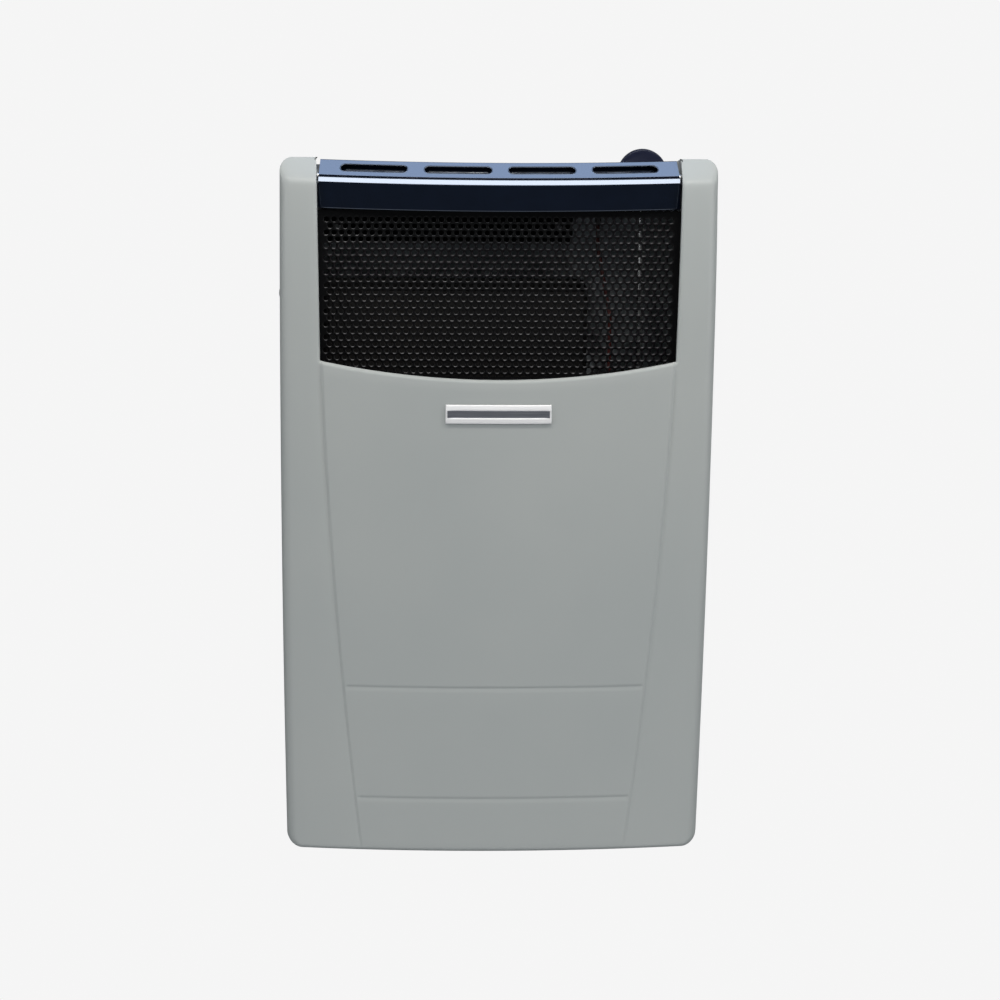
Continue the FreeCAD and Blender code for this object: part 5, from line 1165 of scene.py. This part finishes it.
ball = flow(tree, "GeometryNodeMeshUVSphere", {"Segments": 24, "Rings": 12, "Radius": 1.0})
ball = moved(ball, Scale=vector(tree, X=head_radius, Y=head_radius, Z=head_height))
slab = moved(flow(tree, "GeometryNodeMeshCube", {"Size": SLAB_SIZE}), Translation=(0, 0, -SLAB_SIZE[2] / 2))
head = cut_away(tree, ball, slab)
arm = maths(tree, "MULTIPLY", head_radius, ARM_SHARE)
bars = [flow(tree, "GeometryNodeMeshCube", {"Size": vector(tree, X=wide, Y=deep, Z=head_height)})
        for wide, deep in ((arm, recess), (recess, arm))]
lift = vector(tree, Z=maths(tree, "MULTIPLY", head_height, CROSS_LIFT))
head = cut_away(tree, head, moved(joined(tree, *bars), Translation=lift))
length = given["Shank length"]
shank = flow(tree, "GeometryNodeMeshCylinder",
             {"Vertices": 18, "Radius": given["Shank radius"], "Depth": length})
shank = moved(shank, Translation=vector(tree, Z=maths(tree, "MULTIPLY", length, -0.5)))
look_at = flow(tree, "GeometryNodeInputNamedAttribute", {"Name": "look"}, data_type="FLOAT_VECTOR")
facing = flow(tree, "FunctionNodeAlignRotationToVector", {"Vector": look_at}, axis="Z")
screws = scattered(tree, given["Mesh"], joined(tree, head, shank), Rotation=facing)
tree.links.new(painted(tree, realised(tree, screws), given["Finish"]), result)

# %% Put the screws in
LOW_HEAD = {"casing_screws": 0.5 * MM}
SCREW_FINISH = {"casing_screws": "casing_paint", "grille_screws": "grille_black"}
SCREW_NODES = ("casing_screws", "cover_screws", "grille_screws", "chassis_screws")
for node in SCREW_NODES:
    seats, looks, lengths = zip(*screw_places(node))
    seats_mesh = bpy.data.meshes.new(node + "_set")
    seats_mesh.from_pydata([tuple(seat) for seat in seats], [], [])
    look_data = seats_mesh.attributes.new("look", "FLOAT_VECTOR", "POINT")
    for item, look in zip(look_data.data, looks):
        item.vector = look
    screw_set = bpy.data.objects.new(node + "_set", seats_mesh)
    bpy.context.collection.objects.link(screw_set)
    sizes = {**SCREW_VALUES, "Shank length": min(lengths)}
    sizes["Head height"] = LOW_HEAD.get(node, sizes["Head height"])
    run_tree(screw_set, screw_tree, {**sizes, "Finish": FINISH[SCREW_FINISH.get(node, "zinc_screw")]})
    smooth_sheet(screw_set, 40)
    hand_over(screw_set, node)

# %% [markdown]
# ## Everything else
# The knob, the back panel and the works inside keep their CAD shapes. A copy is merged, its flat faces are
# joined and its sharp edges are broken by a small bevel, because no cut sheet or casting has a perfect edge
# and the bevels catch the light. Sheets near the burner take the near-black zinc, partly heat-dulled and
# partly painted shade.

# %% Break the edges of the other nodes
EDGE_BREAK = {"galvanised_sheet": 0.00018, "cast_aluminium": 0.0008, "knob_plastic": 0.0003}
PLAIN_BREAK, FLAT_ANGLE, BREAK_ANGLE = 0.00015, math.radians(0.8), math.radians(38)
# Sheets near the burner get the near-black zinc: partly heat-dulled, partly painted shade.
DULL_SHADED_SHEETS = {"heat_shield", "front_heat_shield", "hot_air_deflector", "chamber_brackets", "burner_brackets",
               "valve_bracket", "pilot_bracket", "inlet_bracket"}
DONE = {"front_casing", "visor", "grille", "badge_plate", *SCREW_NODES}
for node in sorted(set(frame["nodes"]) - DONE):
    shape = bmesh.new()
    shape.from_mesh(frame["nodes"][node].data)
    bmesh.ops.remove_doubles(shape, verts=shape.verts, dist=2e-6)
    bmesh.ops.dissolve_limit(shape, angle_limit=FLAT_ANGLE, verts=shape.verts, edges=shape.edges)
    copy = mesh_object(node + "_finished", shape)
    bevel = copy.modifiers.new("broken_edges", "BEVEL")
    bevel.width = EDGE_BREAK.get(SLOT_OF[node], PLAIN_BREAK)
    bevel.segments = 2
    bevel.limit_method = "ANGLE"
    bevel.angle_limit = BREAK_ANGLE
    smooth_sheet(baked(copy), 36)
    hand_over(copy, node, "dulled_zinc" if node in DULL_SHADED_SHEETS else SLOT_OF[node])
